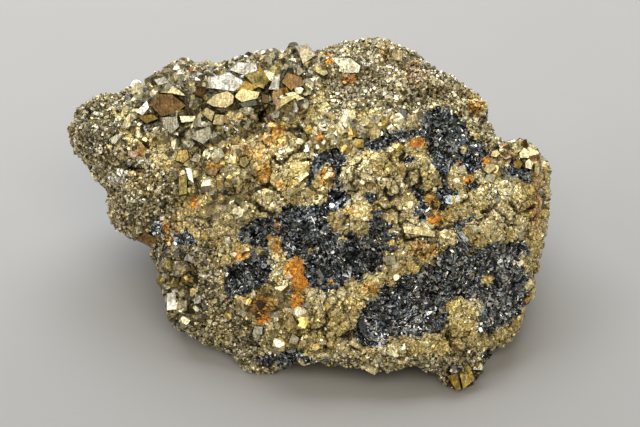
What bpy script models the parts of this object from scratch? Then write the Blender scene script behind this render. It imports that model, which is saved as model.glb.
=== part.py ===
"""A hand specimen of hematite grown through with pyrite: one closed, faceted solid on a flat broken base.

Run it with blender --background --python part.py, or from Blender's text editor. Units are metres, +Z is up,
and the front of the specimen, its fresh broken face, looks towards -Y and upwards.
"""

import math
import random

import bmesh
import bpy
import numpy as np
from mathutils import Matrix, Vector, noise
from mathutils.bvhtree import BVHTree

MM = 0.001

# Driving dimensions
WIDTH = 121.0 * MM
ROCK_GRAIN = 2.0 * MM
ROCK_TRIANGLES = 4700
SEED = 11

# The face layout: spots on the specimen are named by millimetres right and up of AIM, as seen from a sight
AIM = Vector((0.0, 5.0, 27.4)) * MM
SIGHT_DISTANCE = 662.0 * MM
FRONT_SIGHT = (0.0, 45.0)
BACK_SIGHT = (180.0, 20.0)
LEFT_SIGHT = (-90.0, 20.0)
RIGHT_SIGHT = (90.0, 20.0)

# Corners of the blocks that the rough shape is made of, in millimetres
MAIN_BLOCK = (
    (-31, -7, -3), (-17, -13, -3), (32, -13, -3), (44, -8, -3), (47, 10, -3), (38, 33, -3), (0, 39, -3),
    (-29, 34, -3), (-35, 12, -3), (-36, -12, 6), (-29, -16, 6), (-20, -21, 5), (-5, -25, 8), (15, -26, 8),
    (30, -26, 7), (42.5, -19.5, 5.5), (48, -17.5, 7), (50.5, -13, 11), (53.5, -4, 17), (53.5, 1, 18),
    (56, 7, 25), (57.5, 13, 31), (55.5, 17, 35), (48, 19.5, 35.8), (-34, 2, 34), (-20, -4, 36),
    (2, -6, 38), (24, -4, 36), (44, 2, 34), (-41, 3, 29), (-40, 2, 17), (-39, -1, 14), (-38, 38, 30),
    (0, 43, 32), (35, 42, 30), (49, 30, 30), (-36, 34, 8), (-36, 20, 42), (-10, 13, 46), (20, 12, 46),
    (40, 18, 42),
)
CRYSTAL_SHOULDER = (
    (-40, 30, 50), (-34, 31, 52), (-27, 31, 52), (-20, 32, 54), (-12, 34, 55), (-5, 35, 55), (0, 35, 54),
    (-39, 24, 44), (-29, 20, 47), (-20, 17, 50), (-10, 15, 51), (2, 13, 52), (-38, 5, 35), (-20, -3, 37),
    (2, -5, 38), (-39, 36, 38), (-20, 40, 38), (2, 42, 38), (-37, 37, 26), (2, 42.5, 28), (-36, 20, 25),
    (0, 20, 25),
)
TOP_PLATEAU = (
    (1, 35, 54), (6, 37, 55.5), (14, 38, 55.5), (21.5, 35.5, 53.5), (26.5, 32, 49.8), (32.5, 29, 46.8),
    (39.5, 26, 45.5), (39.5, 23.5, 42.5), (2, 13, 52), (18, 12, 51), (29, 15, 50), (38, 18, 46),
    (2, -5, 38), (24, -3, 36), (39, 8, 37), (2, 42, 38), (25, 41, 38), (39, 33, 38), (2, 42.5, 28),
    (34, 41.5, 27), (0, 20, 25), (38, 20, 25),
)
LEFT_LOBE = (
    (-62, 24, 38), (-61.5, 21, 35.5), (-60, 28, 41), (-54, 30, 43.5), (-46, 31, 45.5), (-58, 18, 33),
    (-53, 15, 29.5), (-50, 14, 25), (-44, 10, 20), (-52, 14, 39.5), (-47, 8, 35.5), (-42, 3, 30.5),
    (-38, 4, 35), (-58, 33, 33), (-48, 37, 36), (-38, 38, 38), (-50, 33, 19), (-38, 35, 14),
    (-34, 15, 15), (-34, 15, 42), (-36, 25, 48),
)
LOBE_KNOB = (
    (-53, 11.5, 24), (-53, 9, 20.5), (-48.5, 6, 18.5), (-42.5, 2.5, 16.5), (-50, 12, 29), (-42, 3, 29),
    (-47, 22, 22), (-36, 20, 16), (-36, 10, 32), (-44, 20, 32),
)
LOWER_LIP = (
    (-10, -24.5, 7), (-5, -26, 8.5), (5, -27, 8), (15, -27, 8), (24, -28, 7.5), (31, -27.5, 6.5),
    (2, -22.5, 15), (24, -22.5, 15), (-12, -20, 12.5), (36, -20, 12.5), (0, -10, 8), (25, -10, 8),
    (0, -10, 20), (25, -10, 20),
)
LEFT_FOOT = (
    (-14, -22.8, -3), (-14, -23, 1.5), (-19, -21.8, 3), (-10, -23.8, 4.5), (-20, -12, -3), (-5, -14, -3),
    (-8, -12, 10), (-20, -12, 10),
)
RIGHT_FOOT = (
    (26, -26, 6.5), (31, -27.5, 5), (34, -28, -3), (34, -28.3, 2), (39.5, -24.5, -3), (39.5, -23.5, 4),
    (30, -15, -3), (41, -14, -3), (30, -15, 10), (41, -14, 10),
)
BLOCKS = (MAIN_BLOCK, CRYSTAL_SHOULDER, TOP_PLATEAU, LEFT_LOBE, LOBE_KNOB, LOWER_LIP, LEFT_FOOT, RIGHT_FOOT)

# Masses of the front that stand proud or lie back: right, up, half width, half height and rise in millimetres
MASSES = (
    (-12.0, 3.5, 4.2, 3.4, 2.2), (-6.0, 9.5, 6.5, 6.5, 1.3), (1.0, 8.0, 2.6, 4.2, 1.1),
    (12.0, 10.0, 7.0, 5.0, 2.2), (9.0, 0.0, 4.6, 4.6, 2.0), (18.0, 6.5, 2.4, 2.2, 1.4),
    (24.5, 10.0, 4.6, 4.6, 1.8), (27.0, 3.5, 2.0, 2.8, 1.4), (33.5, 8.0, 3.0, 3.4, 1.4),
    (34.0, 2.0, 3.2, 3.0, 1.7), (42.0, 5.0, 5.0, 4.2, 1.5), (43.0, -3.0, 6.5, 4.6, 1.8),
    (50.0, 2.5, 4.0, 6.0, 1.3), (24.5, -4.5, 3.8, 1.6, 2.1), (26.0, -9.0, 4.0, 3.0, 1.3),
    (31.0, -5.5, 3.0, 3.6, 1.3), (4.8, -24.0, 5.0, 6.5, 2.1), (36.0, -26.0, 4.6, 6.0, 1.4),
    (14.0, -17.0, 2.6, 1.8, 1.3), (-30.0, 12.0, 6.0, 6.0, 0.8), (-20.0, 12.0, 5.0, 5.0, 1.0),
    (20.0, 34.0, 15.0, 5.0, 1.2), (-18.0, -15.0, 5.0, 4.0, -1.4), (-8.0, -6.0, 9.0, 4.0, -1.4),
    (8.0, -12.0, 9.0, 4.5, -1.4), (31.0, 18.0, 5.0, 7.0, -1.7), (2.0, 15.5, 4.0, 2.0, -1.3),
    (23.0, -22.0, 11.0, 7.0, -1.1), (45.0, -19.0, 6.0, 9.0, -1.0), (-15.0, 25.5, 1.8, 2.8, -3.5),
    (28.0, 28.0, 9.0, 1.2, -1.4), (-53.0, 17.0, 6.0, 5.0, 1.1), (-47.0, 3.0, 5.0, 5.0, 1.1),
    (-32.0, -6.0, 5.0, 6.0, 0.8),
)

# Pyrite crystals of the front: right, up, edge, then pan, tilt and roll in degrees
CRYSTALS = (
    (-24.0, 31.0, 9.0, -8, 22, 12), (-18.5, 34.5, 8.0, 12, 20, -8), (-14.0, 32.0, 6.5, 35, -5, 25),
    (-25.0, 27.0, 7.5, -18, 5, 8), (-17.5, 28.8, 7.0, 8, 12, 30), (-38.0, 27.5, 9.0, 15, -18, 45),
    (-44.0, 25.5, 6.0, -25, 15, 20), (-47.5, 22.8, 6.0, -15, 20, 40), (-37.0, 21.8, 7.0, 5, 0, 15),
    (-29.5, 19.5, 8.0, -10, -8, 50), (-32.0, 15.0, 6.0, 20, 10, 0), (-38.0, 31.5, 5.5, -20, 25, 35),
    (-31.5, 30.8, 6.5, 10, 28, 20), (-26.5, 32.6, 5.5, -5, 30, 5), (-31.5, 27.5, 6.0, 25, 10, 60),
    (-25.5, 22.2, 5.5, 0, 15, 25), (-20.0, 21.5, 6.5, -12, 0, 70), (-14.0, 36.3, 6.0, 10, 25, 15),
    (-9.0, 35.6, 6.0, -15, 22, 40), (-3.2, 37.8, 6.0, 5, 12, 5), (-7.5, 33.0, 7.0, 22, 5, 35),
    (-11.0, 29.0, 5.5, 25, -10, 20), (-8.0, 26.0, 7.0, 8, 18, 55), (-2.5, 28.5, 7.0, -12, 12, 28),
    (-1.0, 33.0, 6.0, 10, 20, 12), (7.0, 36.5, 8.0, 0, 22, 15), (2.0, 36.0, 6.0, -18, 18, 42),
    (18.5, 39.0, 5.5, -20, 8, 18), (38.6, 26.0, 6.0, 12, -5, 6), (48.5, 14.0, 5.0, -8, 18, 30),
    (52.0, 12.5, 5.0, 12, 20, 10), (42.0, 11.3, 5.0, 0, 22, 50), (45.0, 15.5, 5.0, 20, 5, 15),
    (-34.5, 12.0, 6.0, 10, -12, 32), (-33.0, 7.0, 6.0, -15, 12, 12), (-27.0, 13.0, 6.0, 12, 20, 38),
    (-26.0, 7.5, 6.0, -20, -5, 22), (-21.0, 9.5, 6.5, 18, 15, 8), (-19.5, 14.5, 6.0, -5, -15, 48),
    (-15.0, 12.0, 5.5, 15, -8, 28), (-21.0, 0.5, 5.5, 5, 22, 12), (-28.5, 1.5, 5.5, -22, 5, 35),
    (-42.5, -5.5, 5.5, -30, -10, 25), (-36.5, -12.0, 6.5, -12, -5, 20), (-37.0, -17.0, 5.5, -30, -12, 40),
    (-35.8, -22.0, 6.0, -20, 18, 8), (-32.5, -26.5, 5.0, 5, 22, 25), (-18.0, -21.5, 6.0, -10, 8, 30),
    (-13.0, -21.0, 6.0, 15, -6, 12), (-10.0, -16.5, 5.5, 8, 6, 40), (-18.5, -9.5, 5.5, -15, 10, 22),
    (-16.5, -28.5, 5.5, -8, 22, 15), (-12.0, -28.0, 5.5, 12, -4, 38), (-9.5, -31.8, 5.5, 5, 18, 20),
    (-6.0, -27.0, 6.5, 20, -8, 42), (-3.0, -32.5, 5.5, 5, -5, 25), (34.0, -39.0, 5.5, -25, -15, 30),
    (37.5, -37.0, 5.0, 20, 5, 12),
)
CRYSTAL_OUT = 0.34

# Crystals that are scattered: sight, right, up, half width, half height, how many, smallest and largest edge
SCATTERED = (
    (BACK_SIGHT, 20.0, -2.0, 20.0, 11.0, 14, 5.0, 8.0),
    (BACK_SIGHT, -20.0, -8.0, 20.0, 12.0, 8, 5.0, 7.5),
    (LEFT_SIGHT, 4.0, 2.0, 20.0, 12.0, 7, 4.5, 7.0),
    (RIGHT_SIGHT, -6.0, -2.0, 14.0, 12.0, 6, 4.5, 7.0),
)
SCATTERED_TURN = 40.0
SCATTERED_FACING = 0.5
FRONT_FACING = 0.35

# Directions that a crystal's corners and edges are cut in
CORNERS = tuple((x, y, z) for x in (-1, 1) for y in (-1, 1) for z in (-1, 1))
SLOPES = ((2, 1, 0), (-2, 1, 0), (0, 2, 1), (0, -2, 1), (1, 0, 2), (1, 0, -2), (-1, 0, 2))

# Gaps and cracks: right, up, half width, half height and depth in millimetres, then roll in degrees
GAPS = (
    (-14.6, 24.5, 1.4, 3.0, 6.0, -15), (-12.0, 29.5, 1.0, 2.4, 4.0, 10), (22.5, 28.3, 3.4, 0.7, 3.0, 22),
    (-12.5, 0.6, 3.4, 0.6, 2.5, -20), (-8.5, 14.5, 3.2, 0.5, 2.0, 25), (24.5, -6.5, 3.6, 0.6, 2.0, 8),
    (42.0, 1.3, 3.6, 0.5, 2.0, 22), (10.5, -30.5, 3.0, 0.6, 2.5, -30),
)

# Relief of the broken surface
SKIN_RISE = 1.5 * MM
LUMP_SIZE = 9.0 * MM
LUMP_RISE = 0.7 * MM
BLOCKY_SIZE = 7.0 * MM
BLOCKY_RISE = 1.0 * MM
CELL_EDGE = 3.0
CELL_SPREAD = 3.7
MASS_EDGE = 0.3
MASS_REACH = 1.1


class Sight:
    """A place that the specimen is seen from, with spots named in the plane through AIM."""

    def __init__(self, azimuth, elevation):
        turn, lift = math.radians(azimuth), math.radians(elevation)
        ahead = Vector((-math.sin(turn) * math.cos(lift), math.cos(turn) * math.cos(lift), -math.sin(lift)))
        self.right = Vector((math.cos(turn), math.sin(turn), 0.0))
        self.ahead = ahead
        self.up = self.right.cross(ahead)
        self.eye = AIM - ahead * SIGHT_DISTANCE

    def spot_on(self, tree, across, height):
        """Point and normal of the surface at a spot in millimetres, or None where the sight misses it."""
        target = AIM + self.right * across * MM + self.up * height * MM
        place, normal, _, _ = tree.ray_cast(self.eye, (target - self.eye).normalized())
        return (place, normal) if place else None

    def layout_of(self, places):
        """Millimetres right and up of AIM for each place."""
        offset = places - np.array(self.eye)
        depth = offset @ np.array(self.ahead)
        scale = SIGHT_DISTANCE / depth / MM
        return offset @ np.array(self.right) * scale, offset @ np.array(self.up) * scale


def clear_scene():
    for existing in list(bpy.data.objects):
        bpy.data.objects.remove(existing)


def block(corners):
    """A closed convex block through corners given in millimetres."""
    shape = bmesh.new()
    for corner in corners:
        shape.verts.new(Vector(corner) * MM)
    bmesh.ops.convex_hull(shape, input=shape.verts)
    inner = [vert for vert in shape.verts if not vert.link_faces]
    bmesh.ops.delete(shape, geom=inner, context="VERTS")
    return shape


def joined(shapes, name):
    """One mesh that holds all the shapes, which may still overlap."""
    whole = bmesh.new()
    for shape in shapes:
        piece = bpy.data.meshes.new("piece")
        shape.to_mesh(piece)
        shape.free()
        whole.from_mesh(piece)
        bpy.data.meshes.remove(piece)
    mesh = bpy.data.meshes.new(name)
    whole.to_mesh(mesh)
    whole.free()
    return mesh


def placed(mesh):
    """A new object in the scene for the mesh."""
    thing = bpy.data.objects.new(mesh.name, mesh)
    bpy.context.scene.collection.objects.link(thing)
    return thing


def settled(thing):
    """Gives the object the mesh that its modifiers make, and takes the modifiers off."""
    graph = bpy.context.evaluated_depsgraph_get()
    mesh = bpy.data.meshes.new_from_object(thing.evaluated_get(graph))
    thing.modifiers.clear()
    thing.data = mesh
    return mesh


def smooth_step(edge, amount):
    """Rises from 0 to 1 as the amount falls from 1 to 1 - edge."""
    rise = np.clip((1.0 - amount) / edge, 0.0, 1.0)
    return rise * rise * (3.0 - 2.0 * rise)


def mass_rise(places, normals):
    """How far each place of the front is lifted by the masses of pyrite, or sunk in hematite, in metres."""
    sight = Sight(*FRONT_SIGHT)
    across, height = sight.layout_of(places)
    faces_front = np.clip(-normals @ np.array(sight.ahead) * 2.0, 0.0, 1.0)
    rise = np.zeros(len(places))
    for right, up, half_width, half_height, lift in MASSES:
        reach = ((across - right) / half_width) ** 2 + ((height - up) / half_height) ** 2
        share = smooth_step(MASS_EDGE, np.sqrt(reach) / MASS_REACH)
        rise = np.where(abs(lift) * share > abs(rise), lift * share, rise)
    return rise * faces_front * MM


def broken_rise(places):
    """Lumps, and blocky steps between the cells of a fractured rock, in metres."""
    rise = np.empty(len(places))
    for index, place in enumerate(places):
        point = Vector(place)
        distances, centres = noise.voronoi(point / BLOCKY_SIZE)
        level = noise.cell(centres[0] * CELL_SPREAD) - 0.5
        edge = min((distances[1] - distances[0]) * CELL_EDGE, 1.0)
        lump = noise.fractal(point / LUMP_SIZE, 1.0, 2.0, 3)
        rise[index] = level * edge * BLOCKY_RISE + lump * LUMP_RISE
    return rise


def rough_rock():
    """The specimen without its crystals: joined blocks, remeshed, with the relief of a broken surface."""
    rock = placed(joined([block(corners) for corners in BLOCKS], "rock"))
    remesh = rock.modifiers.new("voxels", "REMESH")
    remesh.mode = "VOXEL"
    remesh.voxel_size = ROCK_GRAIN
    mesh = settled(rock)
    places = np.empty(len(mesh.vertices) * 3)
    mesh.vertices.foreach_get("co", places)
    places = places.reshape(-1, 3)
    normals = np.empty(len(mesh.vertices) * 3, np.float32)
    mesh.vertices.foreach_get("normal", normals)
    normals = normals.reshape(-1, 3).astype(float)
    rise = SKIN_RISE + mass_rise(places, normals) + broken_rise(places)
    mesh.vertices.foreach_set("co", (places + normals * rise[:, None]).ravel())
    mesh.update()
    thin = rock.modifiers.new("fewer_faces", "DECIMATE")
    thin.ratio = ROCK_TRIANGLES / (2 * len(mesh.polygons))
    settled(rock)
    return rock


def cut_off(shape, direction, distance):
    """Cuts a closed convex shape by a plane and closes the cut with one flat face."""
    normal = Vector(direction).normalized()
    everything = list(shape.verts) + list(shape.edges) + list(shape.faces)
    cut = bmesh.ops.bisect_plane(
        shape, geom=everything, plane_co=normal * distance, plane_no=normal, clear_outer=True, dist=1e-7
    )
    rim = [part for part in cut["geom_cut"] if isinstance(part, bmesh.types.BMEdge)]
    if len(rim) >= 3:
        bmesh.ops.edgenet_fill(shape, edges=rim)


def crystal(edge, chance):
    """A pyrite crystal about the origin: a cube with some corners and edges cut by flat faces."""
    shape = bmesh.new()
    bmesh.ops.create_cube(shape, size=edge)
    stretch = Vector((chance.uniform(0.75, 1.2), chance.uniform(0.75, 1.2), 1.0))
    bmesh.ops.scale(shape, vec=stretch, verts=shape.verts)
    for signs in chance.sample(CORNERS, 4):
        cut_off(shape, signs, edge * chance.uniform(0.5, 0.68))
    for slope in chance.sample(SLOPES, 3):
        cut_off(shape, slope, edge * chance.uniform(0.45, 0.56))
    bmesh.ops.recalc_face_normals(shape, faces=shape.faces)
    return shape


def turned(sight, pan, tilt, roll):
    """The turn that faces a crystal's +Z to the sight, then pans, tilts and rolls it, in degrees."""
    facing = Matrix((sight.right, sight.up, -sight.ahead)).transposed()
    swing = Matrix.Rotation(math.radians(pan), 3, "Y") @ Matrix.Rotation(math.radians(-tilt), 3, "X")
    return facing @ swing @ Matrix.Rotation(math.radians(roll), 3, "Z")


def crystal_at(found, sight, edge, turns, chance):
    """A crystal set into the surface at a spot, with about CRYSTAL_OUT of its edge standing out."""
    place, normal = found
    shape = crystal(edge, chance)
    centre = place + normal * edge * (CRYSTAL_OUT - 0.5)
    move = Matrix.Translation(centre) @ turned(sight, *turns).to_4x4()
    bmesh.ops.transform(shape, matrix=move, verts=shape.verts)
    return shape


def faces(found, sight, share):
    """Whether the surface at a found spot is turned towards the sight by more than the share."""
    return -found[1].dot(sight.ahead) > share


def all_crystals(rock):
    """Every crystal that is set on the rock, as separate shapes."""
    tree = BVHTree.FromObject(rock, bpy.context.evaluated_depsgraph_get())
    chance = random.Random(SEED)
    front = Sight(*FRONT_SIGHT)
    shapes = []
    for right, up, edge, *turns in CRYSTALS:
        found = front.spot_on(tree, right, up)
        if found:
            shapes.append(crystal_at(found, front, edge * MM, turns, chance))
    for view, right, up, half_width, half_height, count, smallest, largest in SCATTERED:
        sight = Sight(*view)
        for _ in range(count):
            across = right + half_width * chance.uniform(-1, 1)
            height = up + half_height * chance.uniform(-1, 1)
            turns = [chance.uniform(-SCATTERED_TURN, SCATTERED_TURN) for _ in range(3)]
            edge = chance.uniform(smallest, largest) * MM
            found = sight.spot_on(tree, across, height)
            if found and faces(found, sight, SCATTERED_FACING) and not faces(found, front, FRONT_FACING):
                shapes.append(crystal_at(found, sight, edge, turns, chance))
    return shapes


def helper(thing, group):
    """Makes the object a helper: outlined in the viewport, left out of the model, and held in the group."""
    thing.hide_render = True
    thing.display_type = "WIRE"
    bpy.context.scene.collection.objects.unlink(thing)
    group.objects.link(thing)


def helper_group(name):
    group = bpy.data.collections.new(name)
    bpy.context.scene.collection.children.link(group)
    return group


def combine(rock, group, operation):
    """Joins the group's objects to the rock, or cuts them from it, and removes them."""
    boolean = rock.modifiers.new(group.name, "BOOLEAN")
    boolean.operation = operation
    boolean.operand_type = "COLLECTION"
    boolean.collection = group
    boolean.solver = "EXACT"
    settled(rock)
    for thing in list(group.objects):
        bpy.data.objects.remove(thing)
    bpy.data.collections.remove(group)


def fuse_crystals(rock):
    """Joins the crystals to the rock in one closed solid."""
    group = helper_group("crystals")
    for number, shape in enumerate(all_crystals(rock)):
        helper(placed(joined([shape], f"crystal_{number}")), group)
    combine(rock, group, "UNION")


def wedge(half_width, half_height, depth):
    """A closed slot about the origin that narrows inwards, against +Z."""
    shape = bmesh.new()
    bmesh.ops.create_cube(shape, size=2.0)
    inner = [vert for vert in shape.verts if vert.co.z < 0]
    bmesh.ops.scale(shape, vec=(0.6, 0.4, 1.0), verts=inner)
    bmesh.ops.scale(shape, vec=(half_width * MM, half_height * MM, depth * MM), verts=shape.verts)
    return shape


def cut_gaps(rock):
    """Cuts the cracks, and the gaps between the crystals."""
    tree = BVHTree.FromObject(rock, bpy.context.evaluated_depsgraph_get())
    front = Sight(*FRONT_SIGHT)
    group = helper_group("gaps")
    for number, (right, up, half_width, half_height, depth, roll) in enumerate(GAPS):
        place, _ = front.spot_on(tree, right, up)
        shape = wedge(half_width, half_height, depth)
        move = Matrix.Translation(place) @ turned(front, 0, 0, roll).to_4x4()
        bmesh.ops.transform(shape, matrix=move, verts=shape.verts)
        helper(placed(joined([shape], f"gap_{number}")), group)
    combine(rock, group, "DIFFERENCE")


def cut_base(rock):
    """Cuts the rock off flat at the level it rests on."""
    slab = bmesh.new()
    bmesh.ops.create_cube(slab, size=2 * WIDTH)
    bmesh.ops.translate(slab, vec=(0, 0, -WIDTH), verts=slab.verts)
    group = helper_group("below_base")
    helper(placed(joined([slab], "slab")), group)
    combine(rock, group, "DIFFERENCE")


def shells(shape):
    """The vertices of each connected shell of a mesh."""
    waiting = set(shape.verts)
    while waiting:
        shell = set()
        edge_of_shell = [waiting.pop()]
        while edge_of_shell:
            vert = edge_of_shell.pop()
            shell.add(vert)
            near = {edge.other_vert(vert) for edge in vert.link_edges} & waiting
            waiting -= near
            edge_of_shell.extend(near)
        yield shell


def tidy_mesh(rock):
    """Merges points that lie almost together, fills sealed gaps, and cuts every face into triangles."""
    shape = bmesh.new()
    shape.from_mesh(rock.data)
    bmesh.ops.remove_doubles(shape, verts=shape.verts, dist=0.02 * MM)
    bmesh.ops.dissolve_degenerate(shape, dist=0.01 * MM, edges=shape.edges)
    bmesh.ops.triangulate(shape, faces=shape.faces)
    sealed = sorted(shells(shape), key=len)[:-1]
    bmesh.ops.delete(shape, geom=[vert for shell in sealed for vert in shell], context="VERTS")
    shape.to_mesh(rock.data)
    shape.free()


def set_to_width(rock):
    """Scales the rock to WIDTH and moves the middle of its base to the origin."""
    corners = np.array([vert.co[:] for vert in rock.data.vertices])
    low, high = corners.min(axis=0), corners.max(axis=0)
    scale = WIDTH / (high[0] - low[0])
    middle = Vector((*(low + high)[:2] / 2, low[2]))
    rock.data.transform(Matrix.Scale(scale, 4) @ Matrix.Translation(-middle))


def ore_material():
    """Brassy pyrite, the colour that covers most of the specimen."""
    material = bpy.data.materials.new("ore")
    material.use_nodes = True
    shader = material.node_tree.nodes["Principled BSDF"]
    shader.inputs["Base Color"].default_value = (0.36, 0.31, 0.17, 1.0)
    shader.inputs["Metallic"].default_value = 0.8
    shader.inputs["Roughness"].default_value = 0.4
    return material


def main():
    clear_scene()
    rock = rough_rock()
    fuse_crystals(rock)
    cut_gaps(rock)
    cut_base(rock)
    tidy_mesh(rock)
    set_to_width(rock)
    rock.name = "hematite_specimen"
    rock.data.materials.clear()
    rock.data.materials.append(ore_material())


main()
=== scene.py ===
"""The looks of a hand specimen: brassy pyrite grown through with bands of hematite, and a little limonite.

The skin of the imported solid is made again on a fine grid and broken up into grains, cracks and plates.
Crystals, grains, hematite plates and limonite crumbs are set into it. Spots on the front are named by steps
of about a millimetre right and up of AIM.
"""

import math
import random

import bmesh
import bpy
import numpy as np
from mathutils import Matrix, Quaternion, Vector, noise
from mathutils.bvhtree import BVHTree


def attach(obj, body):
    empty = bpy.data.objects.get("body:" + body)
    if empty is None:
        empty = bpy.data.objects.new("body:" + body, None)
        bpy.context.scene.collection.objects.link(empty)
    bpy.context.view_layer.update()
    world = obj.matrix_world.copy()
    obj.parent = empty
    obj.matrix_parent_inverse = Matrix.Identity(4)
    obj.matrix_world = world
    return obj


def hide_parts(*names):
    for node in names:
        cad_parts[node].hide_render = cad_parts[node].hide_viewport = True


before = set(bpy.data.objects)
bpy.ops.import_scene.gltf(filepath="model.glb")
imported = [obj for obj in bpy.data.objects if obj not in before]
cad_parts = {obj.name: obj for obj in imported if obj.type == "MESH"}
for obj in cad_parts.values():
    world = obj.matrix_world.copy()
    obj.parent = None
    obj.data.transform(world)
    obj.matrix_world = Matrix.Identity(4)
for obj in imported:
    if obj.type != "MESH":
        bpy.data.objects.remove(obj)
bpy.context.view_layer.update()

MM = 0.001
NODE = "hematite_specimen"

# The face layout: one step of it, the spot it is measured from, and how far away and how high it is seen from
STEP = 1.0061 * MM
AIM = Vector((2.663, -3.809, 27.567)) * MM
SIGHT_DISTANCE = 662.0 * STEP
FRONT_SIGHT = (0.0, 45.0)
LENS = 150.0

# The skin's grid, and how often it is smoothed
SKIN_GRAIN = 0.46 * MM
SKIN_SMOOTHINGS = 6

# Every job draws its chances from a seed of its own: SEED and its number here
SEED = 11
JOBS = (
    "skin", "colours", "large_crystals", "pyrite_grains", "crust_grains", "hematite_plates", "small_crystals",
    "bright_crystals", "limonite_crumbs",
)

# The broken surface: blocks of pyrite, the bits that they are cracked into, and single grains
BLOCK = 6.2 * MM
BIT = 2.5 * MM
GRAIN = 1.15 * MM

# How steeply facets lean: on pyrite's blocks, bits and grains, on hematite's bits and grains, and on crust
PYRITE_SLOPES = (0.11, 0.09, 0.11)
HEMATITE_SLOPES = (0.45, 0.75)
CRUST_SLOPE = 0.12

# Depths below the solid's own surface
CRACK_DEPTH = 0.25 * MM
SEAM_DEPTH = 0.03 * MM
DRAWN_CRACK_DEPTH = 0.9 * MM
HEMATITE_DEPTH = 0.25 * MM
UNDER_CRYSTAL_DEPTH = 1.1 * MM

# Heights of the crust's lumps and of its broader swells, and how far any corner is shifted
LUMP_HEIGHT = 0.45 * MM
SWELL_HEIGHT = 0.35 * MM
CORNER_SHIFT = 0.12 * MM

# How far apart neighbouring grains are in the noise that gives them their random numbers
CELLS_PER_GRAIN = 7.3

# What a face is made of
PYRITE, HEMATITE_BAND, GRANULAR_CRUST, FILLING = range(4)

# Hematite plates lie alike within a bundle, and small crystals within a group
PLATE_BUNDLE = 3.2 * MM
CRYSTAL_GROUP = 6.0 * MM

# A large crystal face: how far it stands out and is turned to the sight, and how its body widens below it
FACE_OUT = 1.0 * MM
FACE_TURN = 0.9
FACE_SPREAD = 0.3
FACE_DEPTH = 2.8 * MM

# Faces less than so many steps across are darker
SMALL_FACE = 3.2
SMALL_FACE_SHADE = 0.7

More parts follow.
